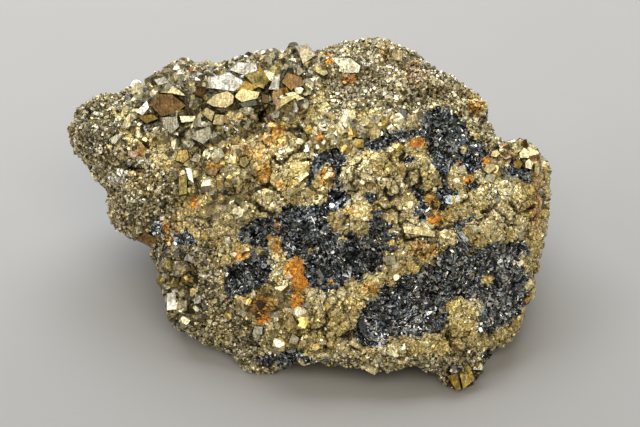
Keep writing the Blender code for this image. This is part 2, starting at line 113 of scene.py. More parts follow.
# Large crystal faces of the front: tone, then the outline, right and up
CRYSTAL_FACES = (
    ("silver", (-27.6, 31.2), (-27.0, 33.8), (-22.5, 34.9), (-18.8, 32.6), (-21.3, 30.4)),
    (
        "stone", (-28.2, 27.5), (-26.1, 29.5), (-23.0, 30.4), (-21.4, 29.2), (-21.6, 27.4), (-23.4, 26.3),
        (-26.4, 26.6),
    ),
    ("silver", (-22.4, 35.6), (-20.2, 37.5), (-16.0, 37.2), (-15.4, 35.6), (-18.8, 34.4)),
    ("honey", (-21.0, 30.6), (-18.6, 32.9), (-15.6, 31.4), (-16.8, 30.6)),
    ("olive", (-18.6, 34.2), (-15.4, 35.4), (-13.2, 33.2), (-14.0, 31.0), (-16.4, 31.9)),
    ("honey", (-15.3, 35.6), (-15.2, 37.0), (-12.6, 33.2), (-13.4, 31.6), (-14.0, 33.0)),
    ("khaki", (-21.2, 29.0), (-19.6, 31.0), (-15.0, 30.1), (-15.6, 28.6), (-19.4, 27.7)),
    ("umber", (-42.2, 27.0), (-40.1, 29.7), (-36.7, 29.5), (-33.3, 26.8), (-36.0, 25.0), (-39.3, 24.1)),
    ("khaki", (-39.8, 30.1), (-35.2, 30.8), (-33.4, 29.2), (-36.6, 29.8)),
    ("grey", (-39.5, 23.8), (-35.6, 24.1), (-35.0, 21.6), (-37.0, 19.8), (-38.8, 21.6)),
    ("grey", (-32.0, 18.7), (-30.6, 20.5), (-27.4, 21.6), (-26.8, 19.1), (-29.0, 17.3)),
    ("khaki", (-29.3, 24.9), (-28.2, 26.3), (-26.2, 25.2), (-26.9, 22.9)),
    ("umber", (-14.5, 29.7), (-12.9, 29.3), (-12.7, 27.4), (-14.3, 27.6)),
    ("brown", (-11.9, 29.3), (-10.2, 29.9), (-9.5, 26.3), (-11.3, 25.4)),
    ("silver", (-45.8, 25.2), (-43.0, 28.0), (-42.4, 26.4), (-44.0, 24.4)),
    ("gold", (-45.6, 24.3), (-41.4, 24.6), (-40.2, 23.6), (-43.2, 22.4)),
    ("silver", (-41.2, 33.2), (-38.6, 34.0), (-37.4, 32.6), (-40.2, 31.8)),
    ("brown", (-31.4, 29.6), (-30.4, 31.6), (-28.2, 31.4), (-28.6, 28.8)),
    ("verdigris", (-20.2, 27.4), (-16.0, 28.2), (-15.4, 27.0), (-19.2, 26.4)),
    ("pale", (-20.6, 24.8), (-19.6, 26.2), (-16.4, 26.0), (-17.4, 24.6)),
    ("pale", (-34.8, 24.2), (-31.0, 24.2), (-31.0, 23.0), (-34.4, 22.6)),
    ("khaki", (-26.6, 22.2), (-26.0, 24.6), (-23.8, 24.4), (-24.0, 22.0)),
    ("brown", (-24.2, 22.6), (-23.6, 24.6), (-22.2, 24.0), (-22.6, 22.2)),
    ("pale", (3.0, 38.6), (7.5, 38.6), (10.0, 36.6), (9.5, 35.0), (5.8, 35.0)),
    ("grey", (-12.8, 30.8), (-11.3, 34.2), (-9.9, 34.5), (-10.2, 30.8)),
    ("umber", (-9.4, 32.6), (-8.2, 35.0), (-4.6, 33.8), (-3.9, 31.6), (-7.0, 30.4)),
    ("khaki", (-8.6, 29.8), (-6.6, 30.2), (-4.0, 28.6), (-6.8, 27.6)),
    ("pale", (-5.6, 41.0), (-3.2, 41.6), (-1.2, 39.2), (-4.2, 37.2)),
    ("khaki", (17.6, 38.4), (18.2, 40.8), (20.4, 40.4), (20.4, 37.8)),
    ("honey", (-35.8, 13.2), (-35.0, 15.6), (-33.0, 15.8), (-32.6, 13.8), (-34.0, 12.6)),
    ("olive", (-20.0, 12.2), (-19.8, 13.8), (-18.4, 14.2), (-17.6, 12.8), (-18.8, 11.4)),
    ("silver", (-33.4, 11.2), (-32.0, 11.4), (-31.4, 7.6), (-32.6, 8.6)),
    ("pale", (-32.0, 13.2), (-31.0, 15.0), (-29.4, 14.4), (-30.2, 12.6)),
    ("olive", (-35.0, 4.6), (-35.0, 9.0), (-33.2, 9.6), (-33.0, 5.0)),
    ("brown", (-28.4, 9.8), (-27.0, 11.8), (-25.0, 11.0), (-26.0, 9.4)),
    ("silver", (-38.0, -24.0), (-38.0, -19.8), (-35.9, -19.6), (-35.7, -23.8)),
    ("pale", (-35.6, -24.0), (-35.2, -21.6), (-33.0, -21.5), (-33.0, -24.2)),
    ("silver", (-31.2, -22.4), (-31.0, -20.2), (-29.6, -20.4), (-29.6, -22.2)),
    ("silver", (-16.8, -30.0), (-16.2, -28.0), (-14.2, -28.2), (-14.4, -30.0)),
    ("khaki", (-11.6, -31.5), (-10.0, -30.6), (-8.5, -32.0), (-9.0, -34.2), (-11.0, -34.2)),
    ("pale", (-7.8, -32.0), (-6.8, -29.8), (-5.2, -31.0), (-5.8, -32.6)),
    ("brown", (-45.4, -6.5), (-43.5, -4.8), (-40.2, -6.2), (-41.5, -8.4)),
    ("pale", (16.4, -12.8), (16.6, -10.6), (18.6, -10.2), (18.8, -12.6)),
    ("honey", (31.6, -40.4), (34.0, -39.6), (35.0, -43.6), (34.0, -44.0)),
    ("gold", (34.6, -39.4), (37.6, -39.0), (38.4, -41.2), (35.6, -43.6)),
    ("khaki", (49.7, 13.8), (49.5, 15.0), (50.6, 16.3), (52.1, 15.4), (51.8, 13.8)),
    ("pale", (51.1, 11.4), (50.9, 12.7), (51.9, 13.6), (52.9, 12.4), (52.4, 11.0)),
    ("gold", (48.3, 11.4), (48.0, 12.7), (49.3, 13.6), (50.3, 12.5), (49.6, 11.1)),
    ("khaki", (40.6, 10.8), (41.4, 12.3), (43.2, 12.4), (43.7, 11.4), (42.0, 9.8)),
    ("khaki", (42.4, 14.3), (42.7, 15.4), (44.0, 15.9), (44.7, 14.8), (43.8, 14.0)),
    # A painted glint on the hematite, drawn as a near-white face
    ("ice", (34.0, -4.6), (35.2, -4.4), (37.0, -6.6), (36.0, -7.4)),
    ("khaki", (20.6, -3.2), (21.0, -4.8), (28.4, -5.8), (28.5, -4.4), (24.0, -3.2)),
    ("pale", (-21.8, 0.0), (-21.4, 1.6), (-19.6, 1.4), (-19.8, -0.4)),
    ("silver", (-33.8, -11.6), (-33.2, -10.2), (-31.4, -10.6), (-31.8, -12.0)),
)

# Outlines of the hematite on the front, right and up
HEMATITE = (
    (
        (-2.2, 6.0), (-2.9, 9.5), (-2.2, 12.3), (-0.3, 14.8), (1.5, 15.9), (4.5, 15.6), (6.9, 14.8),
        (6.2, 12.6), (5.0, 11.0), (4.6, 9.0), (5.2, 6.5), (7.8, 4.8), (8.5, 4.4), (6.5, 3.4), (5.0, 2.0),
        (4.6, 1.0), (1.5, 1.8), (2.2, 4.0), (2.8, 6.5), (3.2, 9.5), (3.0, 12.0), (1.5, 12.8), (0.2, 11.5),
        (-0.8, 10.0), (-1.8, 7.8),
    ),
    (
        (-17.0, -1.6), (-13.0, -1.3), (-10.3, -0.8), (-9.6, 1.0), (-8.6, 2.8), (-5.5, 2.2), (-2.0, 2.2),
        (1.5, 2.4), (2.6, 4.0), (4.6, 4.0), (6.0, 4.4), (5.6, 2.2), (4.2, 0.6), (2.4, 0.2), (1.6, -2.0),
        (2.6, -4.2), (4.8, -5.2), (8.0, -5.3), (12.2, -5.0), (12.6, -2.0), (13.4, 0.9), (15.2, 0.9),
        (15.8, -1.6), (18.2, -3.2), (18.6, -6.0), (19.5, -8.5), (17.5, -9.6), (15.6, -11.5), (15.8, -14.5),
        (12.0, -15.0), (10.0, -17.0), (7.5, -15.8), (6.0, -17.8), (3.8, -19.0), (1.4, -19.6), (-0.6, -18.0),
        (-3.2, -18.2), (-3.2, -15.0), (-4.4, -11.6), (-8.4, -11.0), (-9.6, -8.6), (-9.8, -5.6), (-12.8, -5.4),
        (-13.0, -8.4), (-12.4, -12.4), (-12.6, -17.0), (-15.5, -18.4), (-19.5, -20.8), (-23.0, -20.6),
        (-23.6, -17.0), (-23.8, -12.8), (-20.0, -12.4), (-17.6, -10.8), (-16.6, -8.0), (-19.4, -7.6),
        (-20.6, -5.2), (-18.6, -2.6),
    ),
    ((10.6, 4.9), (14.2, 5.0), (14.0, 3.6), (12.4, 2.4), (11.4, 3.4)),
    ((20.2, 12.2), (21.6, 14.8), (23.2, 15.0), (23.4, 13.6), (22.0, 12.2)),
    (
        (25.2, 20.6), (24.6, 23.0), (26.0, 25.0), (28.5, 26.2), (31.0, 26.3), (33.6, 25.4), (35.4, 23.0),
        (36.8, 21.0), (38.4, 19.0), (40.8, 17.6), (42.2, 15.2), (41.2, 13.2), (39.8, 12.4), (39.6, 9.8),
        (36.6, 9.6), (35.6, 11.4), (33.2, 12.2), (32.0, 11.0), (31.4, 9.0), (31.2, 7.0), (32.5, 5.8),
        (35.3, 5.9), (34.8, 4.8), (32.6, 4.4), (32.0, 2.6), (31.0, 0.4), (29.4, 0.0), (29.9, 2.4),
        (29.0, 4.2), (28.6, 6.2), (29.8, 7.0), (30.2, 9.6), (28.9, 11.2), (28.5, 12.0), (27.6, 14.0),
        (26.8, 16.0), (26.4, 17.6), (24.8, 18.6),
    ),
    (
        (9.2, 15.2), (10.6, 16.6), (9.4, 18.0), (10.6, 20.0), (13.6, 18.6), (15.0, 19.4), (15.4, 21.6),
        (17.6, 20.4), (20.4, 21.4), (22.6, 20.6), (24.4, 21.6), (25.2, 19.6), (24.6, 18.4), (22.8, 18.8),
        (20.4, 17.4), (17.6, 17.0), (15.6, 15.2), (12.4, 15.4),
    ),
    (
        (22.3, 5.8), (23.6, 6.8), (25.6, 6.0), (25.4, 4.0), (26.4, 2.2), (27.6, 0.6), (26.0, -1.0),
        (24.2, -1.6), (23.0, 0.4), (24.2, 2.6), (23.9, 4.4),
    ),
    ((35.2, 6.6), (36.6, 7.6), (38.8, 8.0), (39.6, 7.0), (38.0, 5.9)),
    (
        (44.6, 10.6), (47.0, 12.6), (47.4, 14.2), (49.2, 13.6), (49.8, 11.4), (52.4, 10.6), (52.6, 8.4),
        (50.0, 8.0), (46.6, 9.2),
    ),
    (
        (33.6, -2.6), (36.0, -1.8), (38.8, -0.6), (38.6, -1.8), (36.2, -2.6), (34.4, -4.8), (33.4, -4.4),
    ),
    (
        (20.2, -15.4), (22.6, -14.6), (24.6, -14.6), (26.8, -12.0), (29.0, -11.4), (30.6, -9.6), (31.4, -8.4),
        (33.6, -7.4), (34.4, -4.6), (36.0, -5.6), (37.4, -7.2), (39.4, -8.9), (41.8, -7.4), (44.0, -7.2),
        (46.6, -7.4), (48.6, -6.0), (49.6, -5.4), (51.0, -7.6), (52.4, -8.6), (52.2, -10.2), (49.2, -10.6),
        (49.4, -12.4), (51.0, -13.8), (52.0, -15.2), (51.4, -18.0), (51.4, -20.5), (50.0, -24.5),
        (47.4, -27.6), (44.0, -28.6), (42.2, -30.6), (41.0, -29.6), (38.4, -29.4), (38.6, -27.4),
        (40.2, -26.4), (40.2, -21.0), (37.4, -20.4), (33.6, -21.2), (31.4, -22.2), (31.8, -25.0),
        (31.0, -28.0), (29.6, -29.6), (26.0, -29.8), (25.4, -31.0), (21.0, -30.2), (18.2, -31.0),
        (16.2, -32.6), (13.6, -33.2), (10.4, -32.8), (8.0, -30.4), (9.0, -28.0), (10.4, -24.4), (12.0, -21.8),
        (14.2, -20.6), (15.6, -18.0), (18.6, -17.6),
    ),
    (
        (-10.4, -34.6), (-7.0, -33.2), (-4.6, -33.8), (-3.6, -35.8), (0.4, -37.0), (1.6, -36.0), (2.6, -37.8),
        (-3.0, -37.8), (-9.0, -37.6), (-15.0, -38.4), (-15.4, -35.6), (-12.8, -35.0),
    ),
    ((40.0, -34.0), (41.8, -33.2), (42.6, -34.4), (41.0, -36.6), (39.8, -35.6)),
    ((-42.0, -2.0), (-40.0, -0.6), (-38.6, -3.0), (-38.6, -5.8), (-41.2, -5.2)),
    ((-36.0, -5.0), (-33.0, -4.6), (-30.6, -6.6), (-32.0, -8.4), (-35.0, -8.0)),
)

# Pyrite inside the hematite: right, up, half width and half height
ISLANDS = (
    (3.6, -1.6, 1.3, 2.0), (-2.3, -9.3, 1.0, 0.9), (6.0, -6.2, 1.6, 0.4), (-15.2, -9.2, 1.2, 1.1),
    (-18.0, -14.0, 0.8, 0.6), (35.8, 16.0, 0.8, 1.4), (18.0, -31.6, 1.2, 1.0), (41.5, -16.5, 1.6, 1.2),
)

# Pyrite round the crystals of the upper rim, on the front and on the back
UPPER_RIM = (-32.0, 38.0, 8.0, 6.0)

# Outlines of the fine granular crust on the front
CRUST = (
    (
        (-70.0, 50.0), (-50.0, 50.0), (-46.0, 31.0), (-49.0, 27.0), (-50.0, 22.0), (-48.0, 18.0),
        (-44.0, 14.0), (-40.0, 11.0), (-36.0, 11.0), (-34.0, 6.0), (-36.0, 0.0), (-35.0, -4.0), (-31.0, -6.0),
        (-26.0, -8.0), (-24.0, -14.0), (-25.0, -18.0), (-22.0, -22.0), (-19.0, -27.0), (-16.0, -31.0),
        (-14.0, -36.0), (-20.0, -45.0), (-70.0, -30.0),
    ),
    (
        (0.0, 24.0), (3.0, 27.0), (2.0, 33.0), (1.0, 38.0), (3.0, 50.0), (45.0, 50.0), (45.0, 16.0),
        (41.0, 18.0), (36.0, 22.5), (33.0, 26.5), (28.0, 26.8), (24.0, 24.5), (15.0, 25.5), (8.0, 26.0),
    ),
    (
        (4.0, -35.0), (10.0, -34.5), (20.0, -35.0), (30.0, -35.0), (38.0, -34.0), (41.0, -33.0),
        (41.0, -50.0), (-20.0, -50.0), (-16.0, -38.0), (2.0, -38.0),
    ),
)

# Limonite fillings: right, up, half width, half height and tone
LIMONITE = (
    (-6.1, -14.0, 2.3, 2.8, "orange"), (-4.8, -17.0, 1.6, 2.4, "orange"), (-6.0, -21.6, 1.4, 2.3, "orange"),
    (-14.2, -26.2, 1.6, 1.4, "rust"), (-0.4, 19.1, 1.2, 0.9, "orange"), (24.2, 17.4, 1.4, 1.0, "salmon"),
    (36.6, 8.4, 1.1, 1.0, "orange"), (28.4, -1.6, 1.8, 1.1, "orange"), (-10.6, -2.9, 0.9, 0.6, "orange"),
    (-12.6, -6.1, 0.8, 0.7, "orange"), (2.6, -17.1, 0.9, 0.7, "amber"), (41.2, 13.0, 1.1, 0.6, "orange"),
    (6.8, 33.6, 1.9, 1.2, "rust"), (-38.3, -3.4, 0.9, 1.6, "orange"), (-37.8, 17.6, 2.2, 0.6, "amber"),
    (-45.2, 15.2, 1.4, 1.4, "rust"), (-26.6, 11.2, 1.4, 1.0, "rust"), (-31.0, 2.6, 1.1, 1.5, "amber"),
    (46.4, 15.0, 1.0, 1.6, "rust"), (53.0, 14.0, 0.9, 1.6, "rust"), (2.2, 38.2, 1.2, 1.2, "rust"),
    (34.6, 12.7, 1.0, 0.3, "salmon"), (-31.6, 35.3, 0.8, 0.8, "rust"),
)

# Warm stains over the pyrite: right, up, half width, half height, strength and tone
STAINS = (
    (1.4, 9.0, 2.0, 2.6, 0.9, "amber"), (-13.8, 9.6, 2.4, 4.0, 0.9, "amber"),
    (-12.6, 19.6, 3.6, 5.0, 0.6, "amber"), (-9.6, 6.8, 2.2, 1.4, 0.6, "amber"),
    (-15.2, 14.6, 1.2, 1.6, 0.8, "amber"), (-10.4, 20.0, 2.6, 3.6, 0.6, "amber"),
    (25.6, -8.8, 4.6, 2.6, 0.7, "amber"), (27.6, 3.2, 2.2, 3.6, 0.6, "amber"),
    (12.6, -18.4, 2.6, 1.8, 0.8, "amber"), (-19.4, -10.2, 3.4, 2.0, 0.9, "amber"),
    (-14.4, -21.8, 5.0, 3.6, 0.95, "amber"), (-6.4, -28.0, 5.0, 4.0, 0.6, "gold"),
    (-37.0, -13.0, 4.0, 6.0, 0.7, "gold"), (12.0, 6.8, 2.2, 1.0, 0.8, "gold"),
    (-33.6, 14.0, 1.6, 1.8, 0.9, "amber"), (23.6, 34.6, 4.0, 3.6, 0.35, "rust"),
    (54.0, 4.0, 1.6, 10.0, 0.55, "rust"), (38.8, 26.6, 3.0, 2.6, 0.9, "amber"),
    (-11.0, -8.0, 1.8, 2.8, 0.7, "amber"), (-20.0, 15.0, 6.0, 4.0, 0.35, "amber"),
    (-46.0, 10.2, 2.4, 1.4, 0.5, "amber"), (52.0, -22.0, 1.4, 3.6, 0.9, "amber"),
    (35.0, -41.0, 4.0, 3.0, 0.6, "amber"), (-37.6, -8.0, 3.0, 3.0, 0.6, "honey"),
    (30.6, -2.6, 2.6, 1.0, 0.8, "gold"), (-50.4, 8.6, 3.4, 1.6, 0.95, "silver"),
    (17.0, 40.0, 4.0, 2.4, 0.35, "amber"), (-55.0, 20.0, 7.0, 8.0, 0.5, "ash"),
    (-44.0, 7.0, 6.0, 3.0, 0.4, "gold"), (-45.0, -1.0, 4.0, 4.0, 0.4, "ash"),
    (-36.0, -5.0, 3.0, 6.0, 0.35, "amber"), (-32.0, -17.0, 3.0, 5.0, 0.35, "gold"),
    (-52.0, 14.0, 3.0, 3.0, 0.4, "olive"), (-57.5, 24.0, 4.5, 3.5, 0.5, "verdigris"),
    (-50.4, 25.0, 3.0, 1.2, 0.6, "gold"), (-47.2, 20.4, 2.8, 1.8, 0.6, "gold"),
    (-49.5, -0.5, 2.4, 4.0, 0.55, "brown"), (-35.0, -8.0, 2.0, 1.6, 0.5, "verdigris"),
    (-31.6, 14.6, 2.0, 1.6, 0.7, "honey"), (29.6, 28.0, 5.0, 1.2, 0.6, "olive"),
    (-43.0, 20.0, 5.0, 5.0, 0.3, "gold"), (8.0, 1.0, 3.0, 2.0, 0.4, "amber"),
)

# Cracks of the front, as lines of spots, each with its half width in millimetres
CRACKS = (
    (0.35, (-11.5, 13.8), (-10.0, 12.8), (-8.0, 13.8), (-5.2, 15.4), (-5.8, 16.8), (-7.2, 17.8)),
    (0.6, (-17.4, 4.6), (-16.6, 3.0), (-15.0, 1.0), (-13.2, 0.2), (-10.0, -0.6)),
    (0.3, (-16.6, 5.8), (-14.0, 6.8), (-12.2, 7.0), (-10.4, 5.0), (-9.0, 3.4)),
    (0.3, (15.8, 6.4), (16.0, 5.0), (17.6, 3.9), (19.4, 4.4), (19.8, 6.6), (18.4, 9.0)),
    (0.4, (20.4, -4.4), (20.8, -6.4), (24.0, -6.3), (27.6, -5.5), (28.6, -3.6)),
    (0.3, (28.6, -3.8), (31.0, -4.2), (33.4, -3.2)),
    (0.25, (40.2, 0.4), (43.4, 1.6), (44.2, 3.4), (44.0, 5.4)),
    (0.2, (43.6, 1.4), (45.6, -0.6), (46.6, -2.6)),
    (0.25, (1.6, -20.0), (1.2, -23.0), (2.2, -26.0), (1.0, -29.0), (1.4, -34.0)),
    (0.25, (12.8, 0.2), (14.2, 2.4), (16.6, 1.0), (18.2, 1.8), (20.0, 0.2), (20.2, -3.0)),
    (0.25, (20.4, 15.0), (20.0, 11.8), (21.6, 10.6), (21.0, 7.4)),
    (0.25, (25.0, 11.0), (25.2, 7.4), (22.0, 6.4)),
    (0.25, (5.4, 7.0), (7.4, 6.4), (8.6, 8.4), (8.6, 11.0), (10.4, 13.6)), (0.2, (9.0, 5.2), (8.2, 6.6)),
    (0.2, (16.0, 12.4), (17.6, 14.2), (18.4, 12.4), (19.8, 11.4)),
    (0.3, (3.4, -30.2), (6.4, -30.8), (8.0, -29.4)), (0.25, (-4.6, 12.8), (-2.8, 13.6), (-1.6, 13.0)),
    (0.25, (-12.5, 7.2), (-12.4, 10.0), (-12.0, 14.0)),
    (0.45, (20.4, 27.4), (22.4, 28.0), (24.6, 29.2), (28.0, 29.6), (31.0, 29.9)),
    (0.35, (36.6, 6.0), (37.0, 3.8), (35.6, 2.6)), (0.3, (46.8, 2.4), (49.6, 0.2), (52.2, 0.6), (53.4, 2.2)),
    (0.4, (-30.8, 8.6), (-30.0, 6.4), (-30.6, 4.2)), (0.5, (-28.0, 5.2), (-24.6, 5.6), (-20.4, 4.9)),
    (0.5, (55.0, 6.4), (55.2, 3.8), (56.6, 2.6)), (0.35, (-6.2, 27.8), (-4.6, 26.4), (-3.6, 25.0)),
    (0.5, (-44.6, 22.4), (-43.6, 20.6), (-44.4, 18.4), (-42.8, 16.4)),
    (0.25, (31.6, -30.0), (32.6, -32.4), (34.6, -34.0)), (0.3, (5.4, -33.0), (10.0, -33.6)),
    (0.8, (-15.3, 24.2), (-14.2, 22.2)), (0.7, (-12.5, 26.4), (-12.0, 25.4)),
    (0.5, (-14.5, 31.0), (-12.0, 28.0)), (0.9, (-57.6, 17.8), (-57.0, 17.2)),
    (0.7, (-50.0, 11.5), (-44.5, 11.0)), (0.4, (52.3, -16.5), (52.4, -19.5)),
)

# Where the outline is worn back on the front: right, up, half width, half height and how far in millimetres
WORN = (
    (47.0, 22.0, 6.5, 5.5, 3.4), (53.6, 17.6, 3.5, 3.5, 1.2), (30.5, 38.0, 6.5, 4.5, 1.5),
    (-25.0, 39.0, 6.0, 3.5, 1.5), (-44.4, -8.8, 3.5, 4.5, 2.0), (-39.6, -22.5, 3.5, 4.0, 1.2),
)

# Small crystals of the front that catch the eye: right, up, edge and tone
SMALL_CRYSTALS = (
    (6.8, 23.4, 2.2, "pale"), (8.2, 24.4, 1.0, "pale"), (12.2, 23.6, 1.4, "pale"),
    (16.0, 23.8, 1.2, "silver"), (17.6, 21.0, 1.8, "pale"), (5.2, 21.4, 1.4, "pale"),
    (13.6, 20.0, 2.4, "khaki"), (12.2, 22.2, 1.8, "khaki"), (9.8, 17.4, 2.2, "gold"),
    (-4.8, 17.8, 1.8, "pale"), (-2.8, 17.2, 1.6, "pale"), (1.0, 17.6, 1.4, "pale"), (3.4, 17.6, 1.8, "pale"),
    (1.8, 19.2, 1.2, "pale"), (-0.6, 16.6, 1.2, "pale"), (17.4, 15.8, 1.6, "pale"), (19.6, 16.4, 2.0, "gold"),
    (18.4, 16.9, 1.2, "khaki"), (6.4, 16.0, 2.2, "gold"), (23.6, 23.6, 1.8, "khaki"),
    (19.0, 24.0, 1.6, "pale"), (-2.6, 20.8, 2.2, "gold"), (44.8, 12.4, 1.6, "khaki"),
    (47.0, 15.4, 1.2, "pale"), (46.2, 12.0, 1.4, "pale"), (33.8, 7.6, 1.8, "pale"), (35.4, 10.8, 1.6, "pale"),
    (9.6, 4.0, 1.8, "pale"), (17.2, -11.2, 2.2, "pale"), (18.4, -12.6, 2.0, "pale"),
    (19.0, -15.8, 1.8, "pale"), (16.8, -9.8, 1.4, "khaki"), (18.0, -7.4, 1.6, "gold"),
    (17.8, -4.4, 1.4, "khaki"), (38.6, -3.8, 2.0, "pale"), (16.4, -1.2, 1.8, "khaki"),
    (-33.0, -11.0, 2.0, "pale"), (-31.8, -11.4, 1.4, "pale"), (-36.4, -21.8, 3.0, "pale"),
    (-34.6, -23.0, 2.6, "pale"), (-34.2, -19.8, 1.8, "pale"), (-30.4, -21.4, 2.0, "pale"),
    (-30.8, -23.6, 1.4, "pale"), (-33.6, -26.6, 2.0, "pale"), (-36.0, -19.2, 1.6, "silver"),
    (-15.4, -29.6, 2.4, "pale"), (-10.2, -32.4, 3.0, "pale"), (-6.2, -31.2, 2.6, "pale"),
    (-12.4, -34.6, 0.9, "silver"), (-13.8, -31.2, 2.2, "khaki"), (-22.8, -25.4, 2.2, "olive"),
    (-20.4, 0.2, 2.6, "pale"), (-25.4, 14.2, 2.8, "pale"), (-32.4, 9.6, 2.4, "pale"),
    (-30.2, 13.4, 2.0, "pale"), (-24.2, 12.4, 1.6, "gold"), (-36.0, 17.2, 2.4, "pale"),
    (-5.2, 30.4, 2.0, "pale"), (-14.4, 26.2, 1.6, "silver"), (-16.4, 24.0, 1.6, "pale"),
    (-18.0, 25.4, 2.4, "pale"), (-2.0, 41.0, 2.2, "pale"), (-13.0, 34.6, 2.0, "pale"),
    (-38.4, 32.6, 2.4, "pale"), (-41.0, 29.8, 2.2, "pale"),
)

# Where the hematite plates get painted glints, near-white tones in place of reflections: right, up and reach
PAINTED_GLINT_SPOTS = (
    (44.0, -22.6, 4.0), (14.6, -31.6, 2.2), (35.4, -6.6, 2.6), (26.2, 23.4, 1.8), (17.0, 18.2, 3.4),
    (4.0, -10.0, 3.4), (-17.4, -16.4, 2.2), (-18.6, -6.6, 1.8), (-7.0, -9.2, 1.6), (33.0, 18.0, 3.0),
    (22.6, -27.6, 3.6), (2.0, -4.0, 1.6), (30.0, -16.0, 3.0), (46.0, -13.0, 3.6), (12.6, 16.8, 1.8),
    (32.4, 13.0, 1.4),
)

# Zones of coarse crystals on the front: how coarse, from 0 to 1, then the outline, right and up
COARSE = (
    (
        1.0, (-47.0, 30.0), (-40.0, 36.0), (-30.0, 40.0), (-15.0, 43.0), (0.0, 42.0), (2.0, 36.0),
        (0.0, 31.0), (-3.0, 27.0), (-9.0, 23.0), (-14.0, 20.5), (-22.0, 18.0), (-30.0, 15.0), (-38.0, 17.0),
        (-48.0, 20.0),
    ),
    (
        0.4, (-38.0, 17.0), (-22.0, 18.0), (-16.0, 12.0), (-15.0, 5.0), (-18.0, 0.0), (-28.0, 1.0),
        (-36.0, 6.0),
    ),
    (0.7, (-41.0, -7.0), (-33.0, -9.0), (-31.0, -16.0), (-29.0, -24.0), (-32.0, -29.0), (-42.0, -26.0)),
    (0.5, (-20.0, -19.0), (-8.0, -18.0), (-2.0, -24.0), (0.0, -34.0), (-16.0, -34.0), (-20.0, -26.0)),
    (
        0.5, (-6.0, 21.0), (-8.0, 17.0), (0.0, 15.5), (8.0, 15.5), (20.0, 15.5), (25.0, 22.0), (25.0, 25.0),
        (4.0, 25.0),
    ),
    (0.7, (40.0, 9.0), (41.0, 16.0), (52.0, 18.0), (56.0, 12.0), (50.0, 8.0)),
    (0.7, (31.0, -37.0), (41.0, -37.0), (40.0, -46.0), (31.0, -46.0)),
)

# Small pieces set into the skin: how many, then the smallest and the largest in millimetres
LOTS = {
    "pyrite_grains_fine": (3000, 0.35, 0.7), "pyrite_grains": (550, 0.7, 1.4),
    "hematite_plates": (12000, 0.5, 1.6), "hematite_blades": (700, 1.5, 2.8),
    "crust_grains": (12000, 0.36, 1.0), "pyrite_crystals": (3800, 0.9, 3.2),
    "limonite_crumbs": (900, 0.3, 0.8),
}

# The tones of the small pieces, with the share of each
PYRITE_MIX = {"pale": 3, "khaki": 4, "gold": 1.5, "olive": 2, "silver": 1}
CRUST_MIX = {
    "pale": 3, "stone": 4, "ash": 2.5, "grey": 1.5, "olive": 1, "gold": 0.6, "silver": 1.8, "shadow": 2,
}
CRYSTAL_MIX = {
    "silver": 2, "pale": 3.5, "khaki": 4, "gold": 1, "grey": 3, "amber": 0.3, "brown": 1.6, "olive": 3,
    "ash": 1.8,
}
LIMONITE_MIX = {"orange": 5, "amber": 3, "rust": 2, "salmon": 0.5}
# The near-white tone of the plates in these mixes is a painted glint.
DARK_PLATE_MIX = {
    "black": 1, "steel": 4.5, "ash": 0.6, "verdigris": 0.8, "plum": 0.6, "ice": 3.4, "khaki": 0.2,
}
GREY_PLATE_MIX = {"black": 0.6, "steel": 4, "ash": 1.5, "plum": 0.8, "ice": 3, "silver": 2, "khaki": 0.8}
# Painted glints: the bright tones of the plates at the glint spots
PAINTED_GLINT_MIX = {"ice": 4, "steel": 1, "silver": 1.5}

# How many shares of black tones the plates and the blades have
BLACKS = {"hematite_plates": 4.8, "hematite_blades": 0.4}

# Soft panel lights: name, place, width, height, power and colour
LIGHTS = (
    ("overhead", (-0.06, 0.37, 0.55), 0.8, 0.5, 6.2, (0.905, 0.958, 1.0)),
    ("above_camera", (0.08, -0.42, 0.75), 0.7, 0.45, 2.8, (1.0, 0.93, 0.8)),
    ("left_side", (-0.7, -0.05, 0.4), 0.4, 0.4, 1.9, (1.0, 0.98, 0.95)),
    ("right_side", (0.75, -0.15, 0.35), 0.3, 0.4, 0.6, (1.0, 0.97, 0.93)),
)
STUDIO_TINT = (1.0, 0.84, 0.58, 1.0)
STUDIO_STRENGTH = 0.28
FLOOR_RADIUS = 2.5
FLOOR_TONES = ((0.352, 0.35, 0.354, 1.0), (0.377, 0.375, 0.379, 1.0))

# Tones, as display red, green and blue. The near-white glint tone is a painted reflection, for hematite that
# catches the light.
TONES = {
    "silver": (250, 246, 232), "pale": (250, 240, 204), "khaki": (224, 208, 154), "gold": (224, 196, 112),
    "olive": (168, 152, 90), "honey": (172, 142, 66), "brown": (132, 106, 64), "umber": (124, 96, 54),
    "grey": (182, 178, 158), "stone": (198, 184, 140), "ash": (108, 100, 78), "shadow": (58, 48, 28),
    "amber": (238, 178, 82), "orange": (255, 178, 60), "rust": (186, 112, 56), "salmon": (232, 156, 116),
    "black": (30, 33, 38), "steel": (130, 140, 150), "ice": (228, 236, 242), "verdigris": (74, 82, 64),
    "plum": (100, 86, 92),
}


def linear(tone):
    """The tone's red, green and blue as light."""
    display = np.array(TONES[tone]) / 255.0
    return np.where(display <= 0.04045, display / 12.92, ((display + 0.055) / 1.055) ** 2.4)


